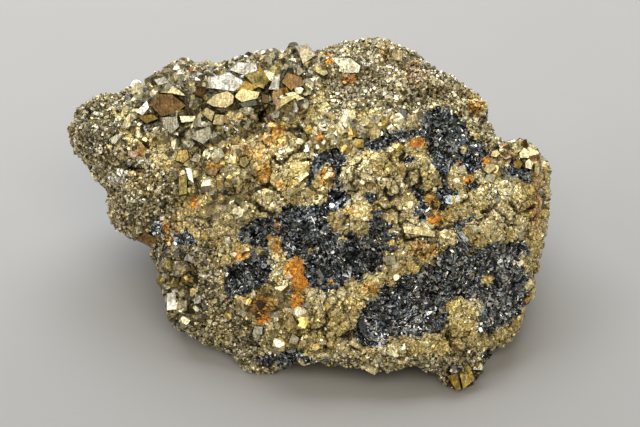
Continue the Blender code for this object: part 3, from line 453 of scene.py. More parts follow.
class Sight:
    """A place that the specimen is seen from, with spots named in the plane through AIM."""

    def __init__(self, azimuth, elevation):
        turn, lift = math.radians(azimuth), math.radians(elevation)
        ahead = Vector((-math.sin(turn) * math.cos(lift), math.cos(turn) * math.cos(lift), -math.sin(lift)))
        self.right = Vector((math.cos(turn), math.sin(turn), 0.0))
        self.ahead = ahead
        self.up = self.right.cross(ahead)
        self.eye = AIM - ahead * SIGHT_DISTANCE

    def towards(self, across, height):
        """The direction from the eye to a spot."""
        return (AIM + self.right * across * STEP + self.up * height * STEP - self.eye).normalized()

    def spot_on(self, tree, across, height):
        """The point of the surface at a spot, or None where the sight misses it."""
        return tree.ray_cast(self.eye, self.towards(across, height))[0]

    def layout_of(self, places):
        """Steps right and up of AIM for each place."""
        offset = places - np.array(self.eye)
        scale = SIGHT_DISTANCE / (offset @ np.array(self.ahead)) / STEP
        return offset @ np.array(self.right) * scale, offset @ np.array(self.up) * scale


FRONT = Sight(*FRONT_SIGHT)


def draws(job):
    """Two sources of chance for a job, the same on each run: one for arrays, and one for single draws."""
    seed = SEED + JOBS.index(job)
    return np.random.default_rng(seed), random.Random(seed)


# Fields over the surface

def smooth_step(values, low, high):
    """Rises smoothly from 0 at low to 1 at high."""
    rise = np.clip((values - low) / (high - low), 0.0, 1.0)
    return rise * rise * (3.0 - 2.0 * rise)


def cloud(places, size, octaves=2, shift=0.0):
    """Soft noise of about -1 to 1 at each place, in lumps of about the size. A shift gives another noise."""
    return np.array([noise.fractal(spot, 1.0, 2.0, octaves) for spot in ((places + shift) / size).tolist()])


def grains_of(places, size):
    """The middle of the grain that each place is in, and how far it is from the grain's edge, in sizes."""
    middles = np.empty((len(places), 3))
    edges = np.empty(len(places))
    for index, spot in enumerate((places / size).tolist()):
        distances, points = noise.voronoi(spot)
        middles[index] = points[0]
        edges[index] = distances[1] - distances[0]
    return middles * size, edges


def of_each(middles, size, shift=0.0):
    """Three random numbers from -1 to 1 for each grain, by its middle. A shift gives other numbers."""
    cells = middles / size * CELLS_PER_GRAIN + shift
    return np.array([noise.cell_vector(spot) for spot in cells.tolist()]) * 2.0 - 1.0


def tilted(places, middles, size, slope, shift=0.0):
    """How high each place is on its grain's own tilted facet."""
    return ((places - middles) * of_each(middles, size, shift)).sum(axis=1) * slope


def line_distance(line, across, height):
    """How far each spot is from an open line of spots."""
    nearest = np.full(len(across), np.inf)
    for (x0, y0), (x1, y1) in zip(line, line[1:]):
        run, rise = x1 - x0, y1 - y0
        along = np.clip(((across - x0) * run + (height - y0) * rise) / (run * run + rise * rise), 0.0, 1.0)
        nearest = np.minimum(nearest, np.hypot(across - x0 - along * run, height - y0 - along * rise))
    return nearest


def depth_inside(outline, across, height):
    """How far each spot is inside an outline, negative outside it."""
    closed = (*outline, outline[0])
    inside = np.zeros(len(across), bool)
    for (x0, y0), (x1, y1) in zip(closed, closed[1:]):
        if y0 != y1:
            crosses = (y0 > height) != (y1 > height)
            inside ^= crosses & (across < x0 + (x1 - x0) * (height - y0) / (y1 - y0))
    nearest = line_distance(closed, across, height)
    return np.where(inside, nearest, -nearest)


def depth_in_any(outlines, across, height):
    return np.max([depth_inside(outline, across, height) for outline in outlines], axis=0)


def reach_from(spot, across, height):
    """How far each place is from the middle of a round spot: 1 on its rim."""
    right, up, half_width, half_height, *_ = spot
    return np.hypot((across - right) / half_width, (height - up) / half_height)


def spot_depth(spots, across, height):
    """How far each place is inside the nearest of some round spots, negative outside."""
    return np.max([(1.0 - reach_from(spot, across, height)) * min(spot[2:4]) for spot in spots], axis=0)


def tinged(colours, tone, amount):
    """The colours drawn towards a tone, each by its own amount."""
    return colours + (linear(tone) - colours) * amount[:, None]


# Meshes and pieces

def placed(mesh):
    """A new object in the scene for the mesh."""
    thing = bpy.data.objects.new(mesh.name, mesh)
    bpy.context.scene.collection.objects.link(thing)
    return thing


def settled(thing):
    """The mesh that an object's modifiers make. The object is removed."""
    graph = bpy.context.evaluated_depsgraph_get()
    mesh = bpy.data.meshes.new_from_object(thing.evaluated_get(graph))
    bpy.data.objects.remove(thing)
    return mesh


def welded(node):
    """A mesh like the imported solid's with its loose triangles joined, and a tree to find its surface with."""
    shape = bmesh.new()
    shape.from_mesh(node.data)
    bmesh.ops.remove_doubles(shape, verts=shape.verts, dist=0.001 * MM)
    mesh = bpy.data.meshes.new("welded")
    shape.to_mesh(mesh)
    tree = BVHTree.FromBMesh(shape)
    shape.free()
    return mesh, tree


def read(items, name, width, kind=np.float32):
    """One property of a mesh's parts as an array."""
    values = np.empty(len(items) * width, kind)
    items.foreach_get(name, values)
    return values.reshape(-1, width) if width > 1 else values


def mesh_from(name, corners, rounds, sizes):
    """A mesh of corners, of the corner numbers round all its faces, and of the faces' sizes."""
    mesh = bpy.data.meshes.new(name)
    mesh.vertices.add(len(corners))
    mesh.vertices.foreach_set("co", np.asarray(corners, np.float32).ravel())
    mesh.loops.add(len(rounds))
    mesh.loops.foreach_set("vertex_index", np.asarray(rounds, np.int32))
    mesh.polygons.add(len(sizes))
    mesh.polygons.foreach_set("loop_start", np.concatenate(([0], np.cumsum(sizes)[:-1])).astype(np.int32))
    mesh.update(calc_edges=True)
    mesh.shade_flat()
    mesh.validate()
    return mesh


def lay_out(mesh):
    """Gives each face a small cell of its own on the texture map."""
    sizes = read(mesh.polygons, "loop_total", 1, np.int32)
    side = math.ceil(math.sqrt(len(sizes)))
    face = np.repeat(np.arange(len(sizes)), sizes)
    number = np.arange(len(face)) - np.repeat(np.cumsum(sizes) - sizes, sizes)
    angle = (number / sizes[face] + 0.125) * 2.0 * math.pi
    radius = np.where(sizes[face] == 4, 0.62, 0.46)
    right = face % side + 0.5 + radius * np.cos(angle)
    up = face // side + 0.5 + radius * np.sin(angle)
    spots = np.stack([right, up], axis=1) / side
    mesh.uv_layers.new(name="OFBake").uv.foreach_set("vector", spots.astype(np.float32).ravel())


def colour_faces(mesh, colours):
    """Keeps a colour for each face, which the finish reads as its tint."""
    shades = np.concatenate([np.clip(colours, 0.0, 1.0), np.ones((len(colours), 1))], axis=1)
    tint = mesh.attributes.new("tint", "FLOAT_COLOR", "FACE")
    tint.data.foreach_set("color", shades.astype(np.float32).ravel())


def add_piece(mesh, colours, material, stands_for_rock=False):
    """Puts a finished mesh in the scene, in its faces' colours, as a piece that rides on the specimen."""
    colour_faces(mesh, colours)
    lay_out(mesh)
    mesh.materials.append(material)
    piece = placed(mesh)
    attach(piece, "root")
    if stands_for_rock:
        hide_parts(NODE)


# The finishes

class Socket:
    """An output of a node, so that shader maths reads as sums."""

    def __init__(self, finish, socket):
        self.finish = finish
        self.socket = socket

    def maths(self, operation, *values):
        return self.finish.node("ShaderNodeMath", {"operation": operation}, dict(enumerate(values)))

    def __add__(self, other):
        return self.maths("ADD", self, other)

    __radd__ = __add__

    def __mul__(self, other):
        return self.maths("MULTIPLY", self, other)

    __rmul__ = __mul__


class Finish:
    """A material, whose nodes all come from one method."""

    def __init__(self, name):
        self.material = bpy.data.materials.new(name)
        self.material.use_nodes = True
        self.tree = self.material.node_tree
        self.shader = self.tree.nodes["Principled BSDF"]

    def node(self, kind, settings=None, sockets=None, output=0):
        """A new node: its settings, then the values or links of its sockets. Gives one of its outputs."""
        made = self.tree.nodes.new(kind)
        for name, setting in (settings or {}).items():
            setattr(made, name, setting)
        for place, value in (sockets or {}).items():
            self.feed(made.inputs[place], value)
        return Socket(self, made.outputs[output])

    def feed(self, entry, value):
        if isinstance(value, Socket):
            self.tree.links.new(value.socket, entry)
        else:
            entry.default_value = value

    def surface(self, **values):
        """Sets the shader's own sockets."""
        for name, value in values.items():
            self.feed(self.shader.inputs[name.replace("_", " ").title()], value)
        return self.material

    def place(self):
        return self.node("ShaderNodeTexCoord", output="Object")

    def tint(self):
        return self.node("ShaderNodeAttribute", {"attribute_name": "tint"})

    def specks(self, size):
        """Soft noise of 0 to 1 on the piece's own coordinates."""
        sockets = {"Vector": self.place(), "Scale": 1.0 / size, "Detail": 3.0, "Roughness": 0.6}
        return self.node("ShaderNodeTexNoise", {}, sockets)

    def chips(self, size, output):
        """One output of small cells on the piece's own coordinates."""
        return self.node("ShaderNodeTexVoronoi", {}, {"Vector": self.place(), "Scale": 1.0 / size}, output)

    def seams(self, size, wander=0.0):
        """How far each spot is from the edge of its uneven cell, in cell sizes."""
        sockets = {"Vector": self.place(), "Scale": 3.0 / size, "Detail": 2.0}
        swirl = self.node("ShaderNodeTexNoise", {}, sockets, "Color")
        swirl = self.vector("SUBTRACT", swirl, (0.5, 0.5, 0.5))
        spot = self.vector("ADD", self.place(), self.shaded(swirl, wander * size))
        sockets = {"Vector": spot, "Scale": 1.0 / size}
        return self.node("ShaderNodeTexVoronoi", {"feature": "DISTANCE_TO_EDGE"}, sockets)

    def vector(self, operation, first, second, output=0):
        return self.node("ShaderNodeVectorMath", {"operation": operation}, {0: first, 1: second}, output)

    def facets(self, size):
        """Small cells, each a leaning flat facet: its height in metres, and a random number from 0 to 1."""
        place, lot, middle = self.place(), self.chips(size, "Color"), self.chips(size, "Position")
        lean = self.vector("SUBTRACT", lot, (0.5, 0.5, 0.5))
        height = self.vector("DOT_PRODUCT", self.vector("SUBTRACT", place, middle), lean, "Value")
        return height, self.node("ShaderNodeSeparateXYZ", {}, {0: lot})

    def span(self, value, low, high, start=0.0, end=1.0):
        """The value from start to end stretched to run from low to high."""
        sockets = {"Value": value, 1: start, 2: end, 3: low, 4: high}
        return self.node("ShaderNodeMapRange", {}, sockets)

    def shaded(self, colour, amount):
        """The colour made darker or lighter by an amount."""
        return self.node("ShaderNodeVectorMath", {"operation": "SCALE"}, {0: colour, "Scale": amount})

    def blended(self, amount, first, second):
        return self.node("ShaderNodeMix", {"data_type": "RGBA"}, {0: amount, 6: first, 7: second}, 2)

    def rough_normal(self, height, strength, distance):
        sockets = {"Height": height, "Strength": strength, "Distance": distance}
        return self.node("ShaderNodeBump", {}, sockets)


def pyrite_finish():
    """Brassy broken pyrite: small bright facets, with dull ones between them, and painted shade along grain
    edges and thin cracks.
    """
    finish = Finish("pyrite")
    fine, coarse = finish.specks(0.42 * MM), finish.specks(2.2 * MM)
    small, lot = finish.facets(0.6 * MM)
    large, _ = finish.facets(1.5 * MM)
    shade = finish.span(lot, 0.8, 1.5) * finish.span(fine, 0.35, 1.75, 0.3, 0.66)
    # Painted shade: the colour is darkened along the grains' edges and along thin wandering crack lines.
    shade = shade * finish.span(finish.seams(1.5 * MM), 0.5, 1.0, 0.02, 0.1)
    shade = shade * finish.span(finish.seams(4.6 * MM, 0.5), 0.06, 1.0, 0.012, 0.042)
    return finish.surface(
        base_color=finish.shaded(finish.tint(), shade),
        metallic=0.3,
        roughness=finish.span(coarse, 0.3, 0.52, 0.3, 0.7),
        normal=finish.rough_normal(small * 0.75 + large * 0.35, 1.0, 1.0),
    )


def crust_finish():
    """Fine granular crust: small dull and bright grains, with painted shade along their edges."""
    finish = Finish("granular_crust")
    fine = finish.specks(0.42 * MM)
    small, lot = finish.facets(0.65 * MM)
    shade = finish.span(lot, 0.1, 2.1) * finish.span(fine, 0.05, 2.0, 0.3, 0.66)
    # Painted shade: the colour is darkened along the grains' edges.
    shade = shade * finish.span(finish.seams(0.9 * MM), 0.2, 1.05, 0.02, 0.14)
    return finish.surface(
        base_color=finish.shaded(finish.tint(), shade),
        metallic=0.4,
        roughness=finish.span(fine, 0.3, 0.6, 0.3, 0.7),
        normal=finish.rough_normal(small * 1.4, 1.0, 1.0),
    )


def hematite_finish():
    """Blue-black hematite: dark metal with a fine platy sparkle, partly from bumped facets and partly painted
    glints.
    """
    finish = Finish("hematite")
    fine = finish.specks(0.35 * MM)
    small, lot = finish.facets(0.6 * MM)
    # Painted glints: a fifth of the small cells are painted several times brighter.
    painted_glints = finish.span(lot, 0.45, 1.0) + finish.span(lot, 0.0, 5.0, 0.8, 1.0)
    return finish.surface(
        base_color=finish.shaded(finish.tint(), painted_glints * finish.span(fine, 0.4, 1.9, 0.3, 0.68)),
        metallic=0.7,
        roughness=finish.span(fine, 0.2, 0.4, 0.3, 0.7),
        normal=finish.rough_normal(small * 1.6, 1.0, 1.0),
    )


def limonite_finish():
    """Earthy limonite: dull and uneven."""
    finish = Finish("limonite")
    fine, coarse = finish.specks(0.35 * MM), finish.specks(1.2 * MM)
    return finish.surface(
        base_color=finish.shaded(finish.tint(), finish.span(fine + coarse, 0.5, 1.4, 0.7, 1.3)),
        metallic=0.0,
        roughness=finish.span(fine, 0.55, 0.85, 0.3, 0.7),
        normal=finish.rough_normal(fine, 0.8, 0.3 * MM),
    )


def crystal_finish():
    """Pyrite faces: polished metal with faint growth lines and dull patches."""
    finish = Finish("crystal_faces")
    fine, broad = finish.specks(0.5 * MM), finish.specks(2.4 * MM)
    stretch = finish.vector("MULTIPLY", finish.place(), (1.0, 0.12, 0.3))
    sockets = {"Vector": stretch, "Scale": 1.0 / (0.5 * MM), "Detail": 4.0}
    lines = finish.node("ShaderNodeTexNoise", {}, sockets)
    shade = finish.span(fine, 0.4, 1.35, 0.32, 0.62) * finish.span(broad, 0.6, 1.3, 0.35, 0.65)
    return finish.surface(
        base_color=finish.shaded(finish.tint(), shade * finish.span(lines, 0.7, 1.25, 0.38, 0.62)),
        metallic=0.5,
        roughness=finish.span(broad, 0.18, 0.4, 0.35, 0.65),
        normal=finish.rough_normal(lines + fine * 0.5, 0.25, 0.2 * MM),
    )


def grain_finish(name, metallic):
    """Small broken grains."""
    finish = Finish(name)
    fine = finish.specks(0.35 * MM)
    return finish.surface(
        base_color=finish.shaded(finish.tint(), finish.span(fine, 0.3, 1.5, 0.3, 0.68)),
        metallic=metallic,
        roughness=finish.span(fine, 0.22, 0.45, 0.3, 0.7),
    )


def flake_finish():
    """Hematite plates: dark mirrors with a cold glint, partly reflected and partly painted into the near-white
    tints of some plates.
    """
    finish = Finish("hematite_plates")
    fine = finish.specks(0.5 * MM)
    return finish.surface(
        base_color=finish.shaded(finish.tint(), finish.span(fine, 0.6, 1.3, 0.3, 0.7)),
        metallic=0.7,
        roughness=finish.span(fine, 0.16, 0.32, 0.3, 0.7),
    )


# The stage

def add_light(name, place, width, height, power, colour):
    """A soft panel light that faces the specimen."""
    light = bpy.data.lights.new(name, "AREA")
    light.shape = "RECTANGLE"
    light.size, light.size_y, light.energy, light.color = width, height, power, colour
    lamp = bpy.data.objects.new(name, light)
    lamp.location = place
    lamp.rotation_euler = (AIM - Vector(place)).to_track_quat("-Z", "Y").to_euler()
    bpy.context.scene.collection.objects.link(lamp)


def add_world():
    world = bpy.data.worlds.new("studio")
    world.use_nodes = True
    background = world.node_tree.nodes["Background"]
    background.inputs["Color"].default_value = STUDIO_TINT
    background.inputs["Strength"].default_value = STUDIO_STRENGTH
    bpy.context.scene.world = world


def add_floor():
    """A wide pale floor, a little uneven like heavy paper, with painted shade that makes it a little darker
    towards the front.
    """
    shape = bmesh.new()
    bmesh.ops.create_circle(shape, cap_ends=True, segments=96, radius=FLOOR_RADIUS)
    mesh = bpy.data.meshes.new("floor")
    shape.to_mesh(mesh)
    shape.free()
    finish = Finish("pale_floor")
    colour = finish.blended(finish.specks(60 * MM), *FLOOR_TONES)
    back = finish.node("ShaderNodeSeparateXYZ", {}, {0: finish.place()}, 1)
    # Painted shade: the floor's colour darkens towards the front, where less light falls.
    colour = finish.shaded(colour, finish.span(back, 1.0, 0.9, 0.03, -0.05))
    mesh.materials.append(finish.surface(base_color=colour, roughness=0.85))
    placed(mesh)


def add_camera():
    camera = bpy.data.cameras.new("camera")
    camera.lens = LENS
    viewer = bpy.data.objects.new("camera", camera)
    viewer.location = FRONT.eye
    viewer.rotation_euler = FRONT.ahead.to_track_quat("-Z", "Y").to_euler()
    bpy.context.scene.collection.objects.link(viewer)
    bpy.context.scene.camera = viewer


def set_stage():
    add_camera()
    add_floor()
    add_world()
    for light in LIGHTS:
        add_light(*light)
    bpy.context.scene.view_settings.view_transform = "Standard"


# The skin

class Skin:
    """The broken surface of the specimen on a fine grid, with what each corner of it is made of."""

    def __init__(self, solid):
        rock = placed(solid)
        remesh = rock.modifiers.new("fine_grid", "REMESH")
        remesh.mode = "VOXEL"
        remesh.voxel_size = SKIN_GRAIN
        soften = rock.modifiers.new("soften", "SMOOTH")
        soften.factor = 0.5
        soften.iterations = SKIN_SMOOTHINGS
        mesh = settled(rock)
        self.corners = read(mesh.vertices, "co", 3).astype(float)
        self.normals = read(mesh.vertices, "normal", 3).astype(float)
        self.faces = read(mesh.loops, "vertex_index", 1, np.int32).reshape(-1, 4)
        bpy.data.meshes.remove(mesh)
        self.find_minerals()
        self.break_up()
        self.judge_faces()

    def find_minerals(self):
        """How much of each mineral each corner has, by outlines on the front and by noise elsewhere."""
        places = self.corners
        across, height = FRONT.layout_of(places)
        covered = depth_in_any([outline for _, *outline in CRYSTAL_FACES], across, height)
        across = across + cloud(places, 2.4 * MM, 3) * 0.7
        height = height + cloud(places, 2.4 * MM, 3, 0.05) * 0.7
        self.across, self.height = across, height
        self.front = smooth_step(-self.normals @ np.array(FRONT.ahead), -0.1, 0.15)
        self.covered = smooth_step(covered, -0.3, 0.3) * self.front
        self.near_crystals = smooth_step(covered, -1.3, -0.3) * self.front
        bands = cloud(places * (1.0, 1.0, 1.7), 15 * MM, 3, 0.3) * 9.0 - 1.6
        back_bands = np.minimum(bands, -spot_depth((UPPER_RIM,), across, height))
        back_crust = cloud(places, 24 * MM, 2, 0.9) * 12.0 + 0.6
        back_fillings = cloud(places, 5 * MM, 2, 0.6) * 3.0 - 2.2
        islands = -spot_depth((*ISLANDS, UPPER_RIM), across, height)
        hematite = np.minimum(depth_in_any(HEMATITE, across, height), islands)
        crust = depth_in_any(CRUST, across, height)
        fillings = spot_depth(LIMONITE, across, height)

        def mixed(painted, found):
            return painted * self.front + found * (1.0 - self.front)

        self.hematite = smooth_step(mixed(hematite, back_bands), -0.35, 0.35)
        self.crust = smooth_step(mixed(crust, back_crust), -1.2, 1.2) * (1.0 - self.hematite)
        self.limonite = smooth_step(mixed(fillings, back_fillings), -0.3, 0.2)
        self.pyrite = (1.0 - self.hematite) * (1.0 - self.crust)

    def break_up(self):
        """Moves the corners in and out: blocks, bits, grains, the cracks between them, plates and lumps."""
        places = self.corners
        blocks, block_edge = grains_of(places + cloud(places, 3 * MM)[:, None] * 0.5 * MM, BLOCK)
        bits, bit_edge = grains_of(places, BIT)
        grains, grain_edge = grains_of(places, GRAIN)
        open_crack = smooth_step(cloud(places, 8 * MM, 2, 0.2), -0.3, 0.1)
        crack = (1.0 - smooth_step(block_edge, 0.01, 0.05)) * open_crack
        seam = 1.0 - smooth_step(bit_edge, 0.03, 0.2)
        broken = (
            tilted(places, blocks, BLOCK, PYRITE_SLOPES[0]) - crack * CRACK_DEPTH
            + tilted(places, bits, BIT, PYRITE_SLOPES[1], 3.1) - seam * SEAM_DEPTH
            + tilted(places, grains, GRAIN, PYRITE_SLOPES[2], 1.3)
        )
        plates = (
            tilted(places, bits, BIT, HEMATITE_SLOPES[0], 9.2)
            + tilted(places, grains, GRAIN, HEMATITE_SLOPES[1], 4.4) - HEMATITE_DEPTH
        )
        lumps = (
            smooth_step(grain_edge, 0.0, 0.5) * LUMP_HEIGHT - 0.22 * MM
            + tilted(places, bits, BIT, CRUST_SLOPE, 2.0) + cloud(places, 3.5 * MM) * SWELL_HEIGHT
        )
        rise = broken * self.pyrite + plates * self.hematite + lumps * self.crust
        self.crack = crack * self.pyrite
        self.seam = seam * self.pyrite
        split = np.zeros(len(places))
        for half_width, *line in CRACKS:
            away = line_distance(line, self.across, self.height) / half_width
            split = np.maximum(split, 1.0 - smooth_step(away, 0.6, 1.5))
        split *= self.front
        self.crack = np.maximum(self.crack, split)
        rise -= split * DRAWN_CRACK_DEPTH + self.covered * UNDER_CRYSTAL_DEPTH
        for spot in WORN:
            reach = reach_from(spot, self.across, self.height)
            rise -= (1.0 - smooth_step(reach, 0.3, 1.0)) * spot[-1] * MM
        self.blocks, self.bits, self.grains = blocks, bits, grains
        chance, _ = draws("skin")
        shift = chance.uniform(-CORNER_SHIFT, CORNER_SHIFT, places.shape)
        self.corners = places + self.normals * rise[:, None] + shift
        self.corners[:, 2] = np.maximum(self.corners[:, 2], 0.0)

    def of_faces(self, values):
        """A field of the corners, averaged over each face."""
        return values[self.faces].mean(axis=1)

    def judge_faces(self):
        """What each face is made of, its middle, size and direction, and how far it is on the front."""
        self.middle = self.of_faces(self.corners)
        self.normal = self.of_faces(self.normals)
        self.front_share = self.of_faces(self.front)
        first, second, third, fourth = self.corners[self.faces].transpose(1, 0, 2)
        self.area = np.linalg.norm(np.cross(third - first, fourth - second), axis=1) / 2.0
        minerals = ("hematite", "crust", "limonite", "pyrite")
        self.share = {name: self.of_faces(getattr(self, name)) for name in minerals}
        mineral = np.where(self.share["crust"] > 0.5, GRANULAR_CRUST, PYRITE)
        mineral = np.where(self.share["hematite"] > 0.5, HEMATITE_BAND, mineral)
        self.mineral = np.where(self.share["limonite"] > 0.5, FILLING, mineral)

    def colours(self):
        """The colour of every face."""
        chance, _ = draws("colours")
        first = self.faces[:, 0]
        block = of_each(self.blocks[first], BLOCK, 0.4)
        bit = of_each(self.bits[first], BIT, 8.8)
        grain = of_each(self.grains[first], GRAIN, 6.1)
        broad = cloud(self.middle, 7 * MM)
        lot = chance.uniform(-1, 1, len(self.faces))

        def toned(low, middle, high, amount):
            """Colours from the low tone at -1 through the middle one to the high one at 1."""
            amount = amount[:, None]
            up = linear(middle) + (linear(high) - linear(middle)) * np.clip(amount, 0.0, 1.0)
            return up + (linear(low) - linear(middle)) * np.clip(-amount, 0.0, 1.0)

        lights = block[:, 0] * 0.4 + bit[:, 0] * 0.25 + grain[:, 0] * 0.25 + lot * 0.35
        brass = toned("olive", "khaki", "pale", lights)
        brass = tinged(brass, "gold", np.clip(block[:, 1] * 0.5 + broad * 0.7, 0.0, 0.55))
        crust = toned("shadow", "stone", "silver", grain[:, 1] * 0.6 + lot * 0.6 - 0.1)
        crust = tinged(crust, "olive", np.clip(bit[:, 1] * 0.5 + broad * 0.6, 0.0, 0.5))
        # The hematite runs from black through steel to a near-white painted glint.
        dark = toned("black", "steel", "ice", grain[:, 2] * 0.6 + bit[:, 2] * 0.4 + lot * 0.6 - 0.6)
        green = np.clip(broad * 0.9, 0.0, 0.5)[:, None]
        dark = dark * (1.0 - green) + linear("verdigris") * green * 0.5
        ochre = toned("rust", "orange", "amber", broad * 0.3 + lot * 0.4 + 0.1)
        kinds = [self.mineral[:, None] == kind for kind in (PYRITE, HEMATITE_BAND, GRANULAR_CRUST, FILLING)]
        return self.stained(np.select(kinds, [brass, dark, crust, ochre]))

    def stained(self, colour):
        """The colours with warm stains and the fillings' own tones, darkened by painted shade in the cracks and
        seams and in the gaps between coarse crystals and crust grains.
        """
        across, height = self.of_faces(self.across), self.of_faces(self.height)
        for *spot, strength, tone in STAINS:
            amount = (1.0 - smooth_step(reach_from(spot, across, height), 0.5, 1.1)) * strength
            colour = tinged(colour, tone, amount * self.front_share * (self.mineral != HEMATITE_BAND))
        for *spot, tone in LIMONITE:
            amount = 1.0 - smooth_step(reach_from(spot, across, height), 0.7, 1.2)
            colour = tinged(colour, tone, amount * self.front_share)
        # Painted shade: faces in the cracks and seams are darkened, as the shadow in them would be.
        dark = np.clip(self.of_faces(self.crack) * 0.95 + self.of_faces(self.seam) * 0.25, 0.0, 0.94)
        # Painted shade: the skin under the coarse crystals and the crust's grains is darkened, so the gaps
        # between them look shadowed.
        painted_gap_shade = np.clip(coarse_share(self) * 0.8 + self.share["crust"] * 0.5, 0.0, 0.88)
        return colour * (1.0 - dark[:, None]) * (1.0 - painted_gap_shade[:, None])

    def part_of(self, name, chosen):
        """A mesh of the chosen faces."""
        faces = self.faces[chosen]
        used, numbers = np.unique(faces, return_inverse=True)
        return mesh_from(name, self.corners[used], numbers.ravel(), np.full(len(faces), 4))


def add_skin(skin, colours):
    """The rock itself, one piece for each mineral."""
    pieces = (
        ("pyrite_mass", PYRITE, pyrite_finish()), ("hematite_bands", HEMATITE_BAND, hematite_finish()),
        ("granular_crust", GRANULAR_CRUST, crust_finish()), ("limonite_fillings", FILLING, limonite_finish()),
    )
    for name, kind, material in pieces:
        chosen = np.flatnonzero(skin.mineral == kind)
        add_piece(skin.part_of(name, chosen), colours[chosen], material, stands_for_rock=True)


# The crystals

CORNERS = tuple((x, y, z) for x in (-1, 1) for y in (-1, 1) for z in (-1, 1))
SLOPES = ((2, 1, 0), (-2, 1, 0), (0, 2, 1), (0, -2, 1), (1, 0, 2), (1, 0, -2), (-1, 0, 2))


def cut_off(shape, direction, distance):
    """Cuts a closed convex shape by a plane and closes the cut with one flat face."""
    normal = Vector(direction).normalized()
    everything = list(shape.verts) + list(shape.edges) + list(shape.faces)
    cut = bmesh.ops.bisect_plane(
        shape, geom=everything, plane_co=normal * distance, plane_no=normal, clear_outer=True, dist=1e-7
    )
    rim = [part for part in cut["geom_cut"] if isinstance(part, bmesh.types.BMEdge)]
    if len(rim) >= 3:
        bmesh.ops.edgenet_fill(shape, edges=rim)


def settle_sides(shape, sides):
    """Sorts extruded sides by where they lie, because each run extrudes them in another order."""
    shape.faces.index_update()
    slots = sorted(side.index for side in sides)
    for slot, side in zip(slots, sorted(sides, key=lambda side: side.calc_center_median().to_tuple(6))):
        side.index = slot
    shape.faces.sort()


def crystal(chance, slopes):
    """A pyrite crystal about 1 across: a cube with some corners and edges cut by flat faces."""
    shape = bmesh.new()
    bmesh.ops.create_cube(shape, size=1.0)
    stretch = Vector((chance.uniform(0.75, 1.2), chance.uniform(0.75, 1.2), 1.0))
    bmesh.ops.scale(shape, vec=stretch, verts=shape.verts)
    for signs in chance.sample(CORNERS, 5):
        cut_off(shape, signs, chance.uniform(0.5, 0.68))
    for slope in chance.sample(SLOPES, slopes):
        cut_off(shape, slope, chance.uniform(0.45, 0.56))
    return shape


def face_corners(tree, outline):
    """The corners of a flat crystal face that lies on the solid, and its middle."""
    spots = [FRONT.spot_on(tree, *spot) for spot in (*outline, np.mean(outline, axis=0))]
    known = np.array([spot for spot in spots if spot is not None])
    middle = known.mean(axis=0)
    normal = Vector(np.linalg.svd(known - middle)[2][2])
    if normal.dot(FRONT.ahead) > 0.0:
        normal.negate()
    normal = (normal - FRONT.ahead * FACE_TURN).normalized()
    middle = Vector(middle) - FRONT.ahead * FACE_OUT
    corners = []
    for spot in outline:
        sight = FRONT.towards(*spot)
        corners.append(FRONT.eye + sight * ((middle - FRONT.eye).dot(normal) / sight.dot(normal)))
    return corners, middle


def add_crystal_faces(tree):
    """The large crystals: each a flat face of its outline on a body that widens into the rock, with painted
    shade on the body's sides.
    """
    _, chance = draws("large_crystals")
    whole = bmesh.new()
    colours = []
    for tone, *outline in CRYSTAL_FACES:
        corners, middle = face_corners(tree, outline)
        face = whole.faces.new([whole.verts.new(corner) for corner in corners])
        grown = bmesh.ops.extrude_face_region(whole, geom=[face], use_keep_orig=True)
        for vert in (part for part in grown["geom"] if isinstance(part, bmesh.types.BMVert)):
            vert.co += (vert.co - middle) * FACE_SPREAD + FRONT.ahead * FACE_DEPTH
        settle_sides(whole, {side for edge in face.edges for side in edge.link_faces} - {face})
        shade = SMALL_FACE_SHADE if np.ptp(outline, axis=0).max() < SMALL_FACE else 1.0
        base = linear(tone) * chance.uniform(0.85, 1.1) * shade
        colours.append(base)
        # Painted shade: the sides of each crystal's body are painted darker than its face.
        colours += [base * chance.uniform(0.15, 0.7) for _ in range(len(outline) + 1)]
    for vert in whole.verts:
        vert.co.z = max(vert.co.z, 0.0)
    bmesh.ops.recalc_face_normals(whole, faces=whole.faces)
    mesh = bpy.data.meshes.new("pyrite_crystals_large")
    whole.to_mesh(mesh)
    whole.free()
    add_piece(mesh, np.array(colours), crystal_finish())


# Small pieces, each a mesh of many copies

class Shape:
    """A small closed shape about the origin, kept as arrays so that it can be copied many times."""

    def __init__(self, shape):
        bmesh.ops.recalc_face_normals(shape, faces=shape.faces)
        shape.verts.index_update()
        self.corners = np.array([vert.co[:] for vert in shape.verts])
        self.rounds = np.array([vert.index for face in shape.faces for vert in face.verts])
        self.sizes = np.array([len(face.verts) for face in shape.faces])
        shape.free()


def chip(chance, corners=1):
    """A small broken grain: a skewed cube with a corner or two off, about 1 across."""
    shape = bmesh.new()
    bmesh.ops.create_cube(shape, size=0.9)
    for vert in shape.verts:
        vert.co += Vector([chance.uniform(-0.1, 0.1) for _ in range(3)])
    for signs in chance.sample(CORNERS, corners):
        cut_off(shape, signs, chance.uniform(0.42, 0.56))
    return Shape(shape)


def plate(chance):
    """A thin crystal plate of five uneven sides, about 1 across."""
    shape = bmesh.new()
    bmesh.ops.create_circle(shape, cap_ends=True, segments=5, radius=0.5)
    for vert in shape.verts:
        vert.co += Vector((chance.uniform(-0.12, 0.12), chance.uniform(-0.12, 0.12), 0.0))
    grown = bmesh.ops.extrude_face_region(shape, geom=shape.faces[:])
    top = [part for part in grown["geom"] if isinstance(part, bmesh.types.BMVert)]
    bmesh.ops.translate(shape, vec=(0.0, 0.0, 0.14), verts=top)
    settle_sides(shape, [face for face in shape.faces if len(face.verts) == 4])
    return Shape(shape)


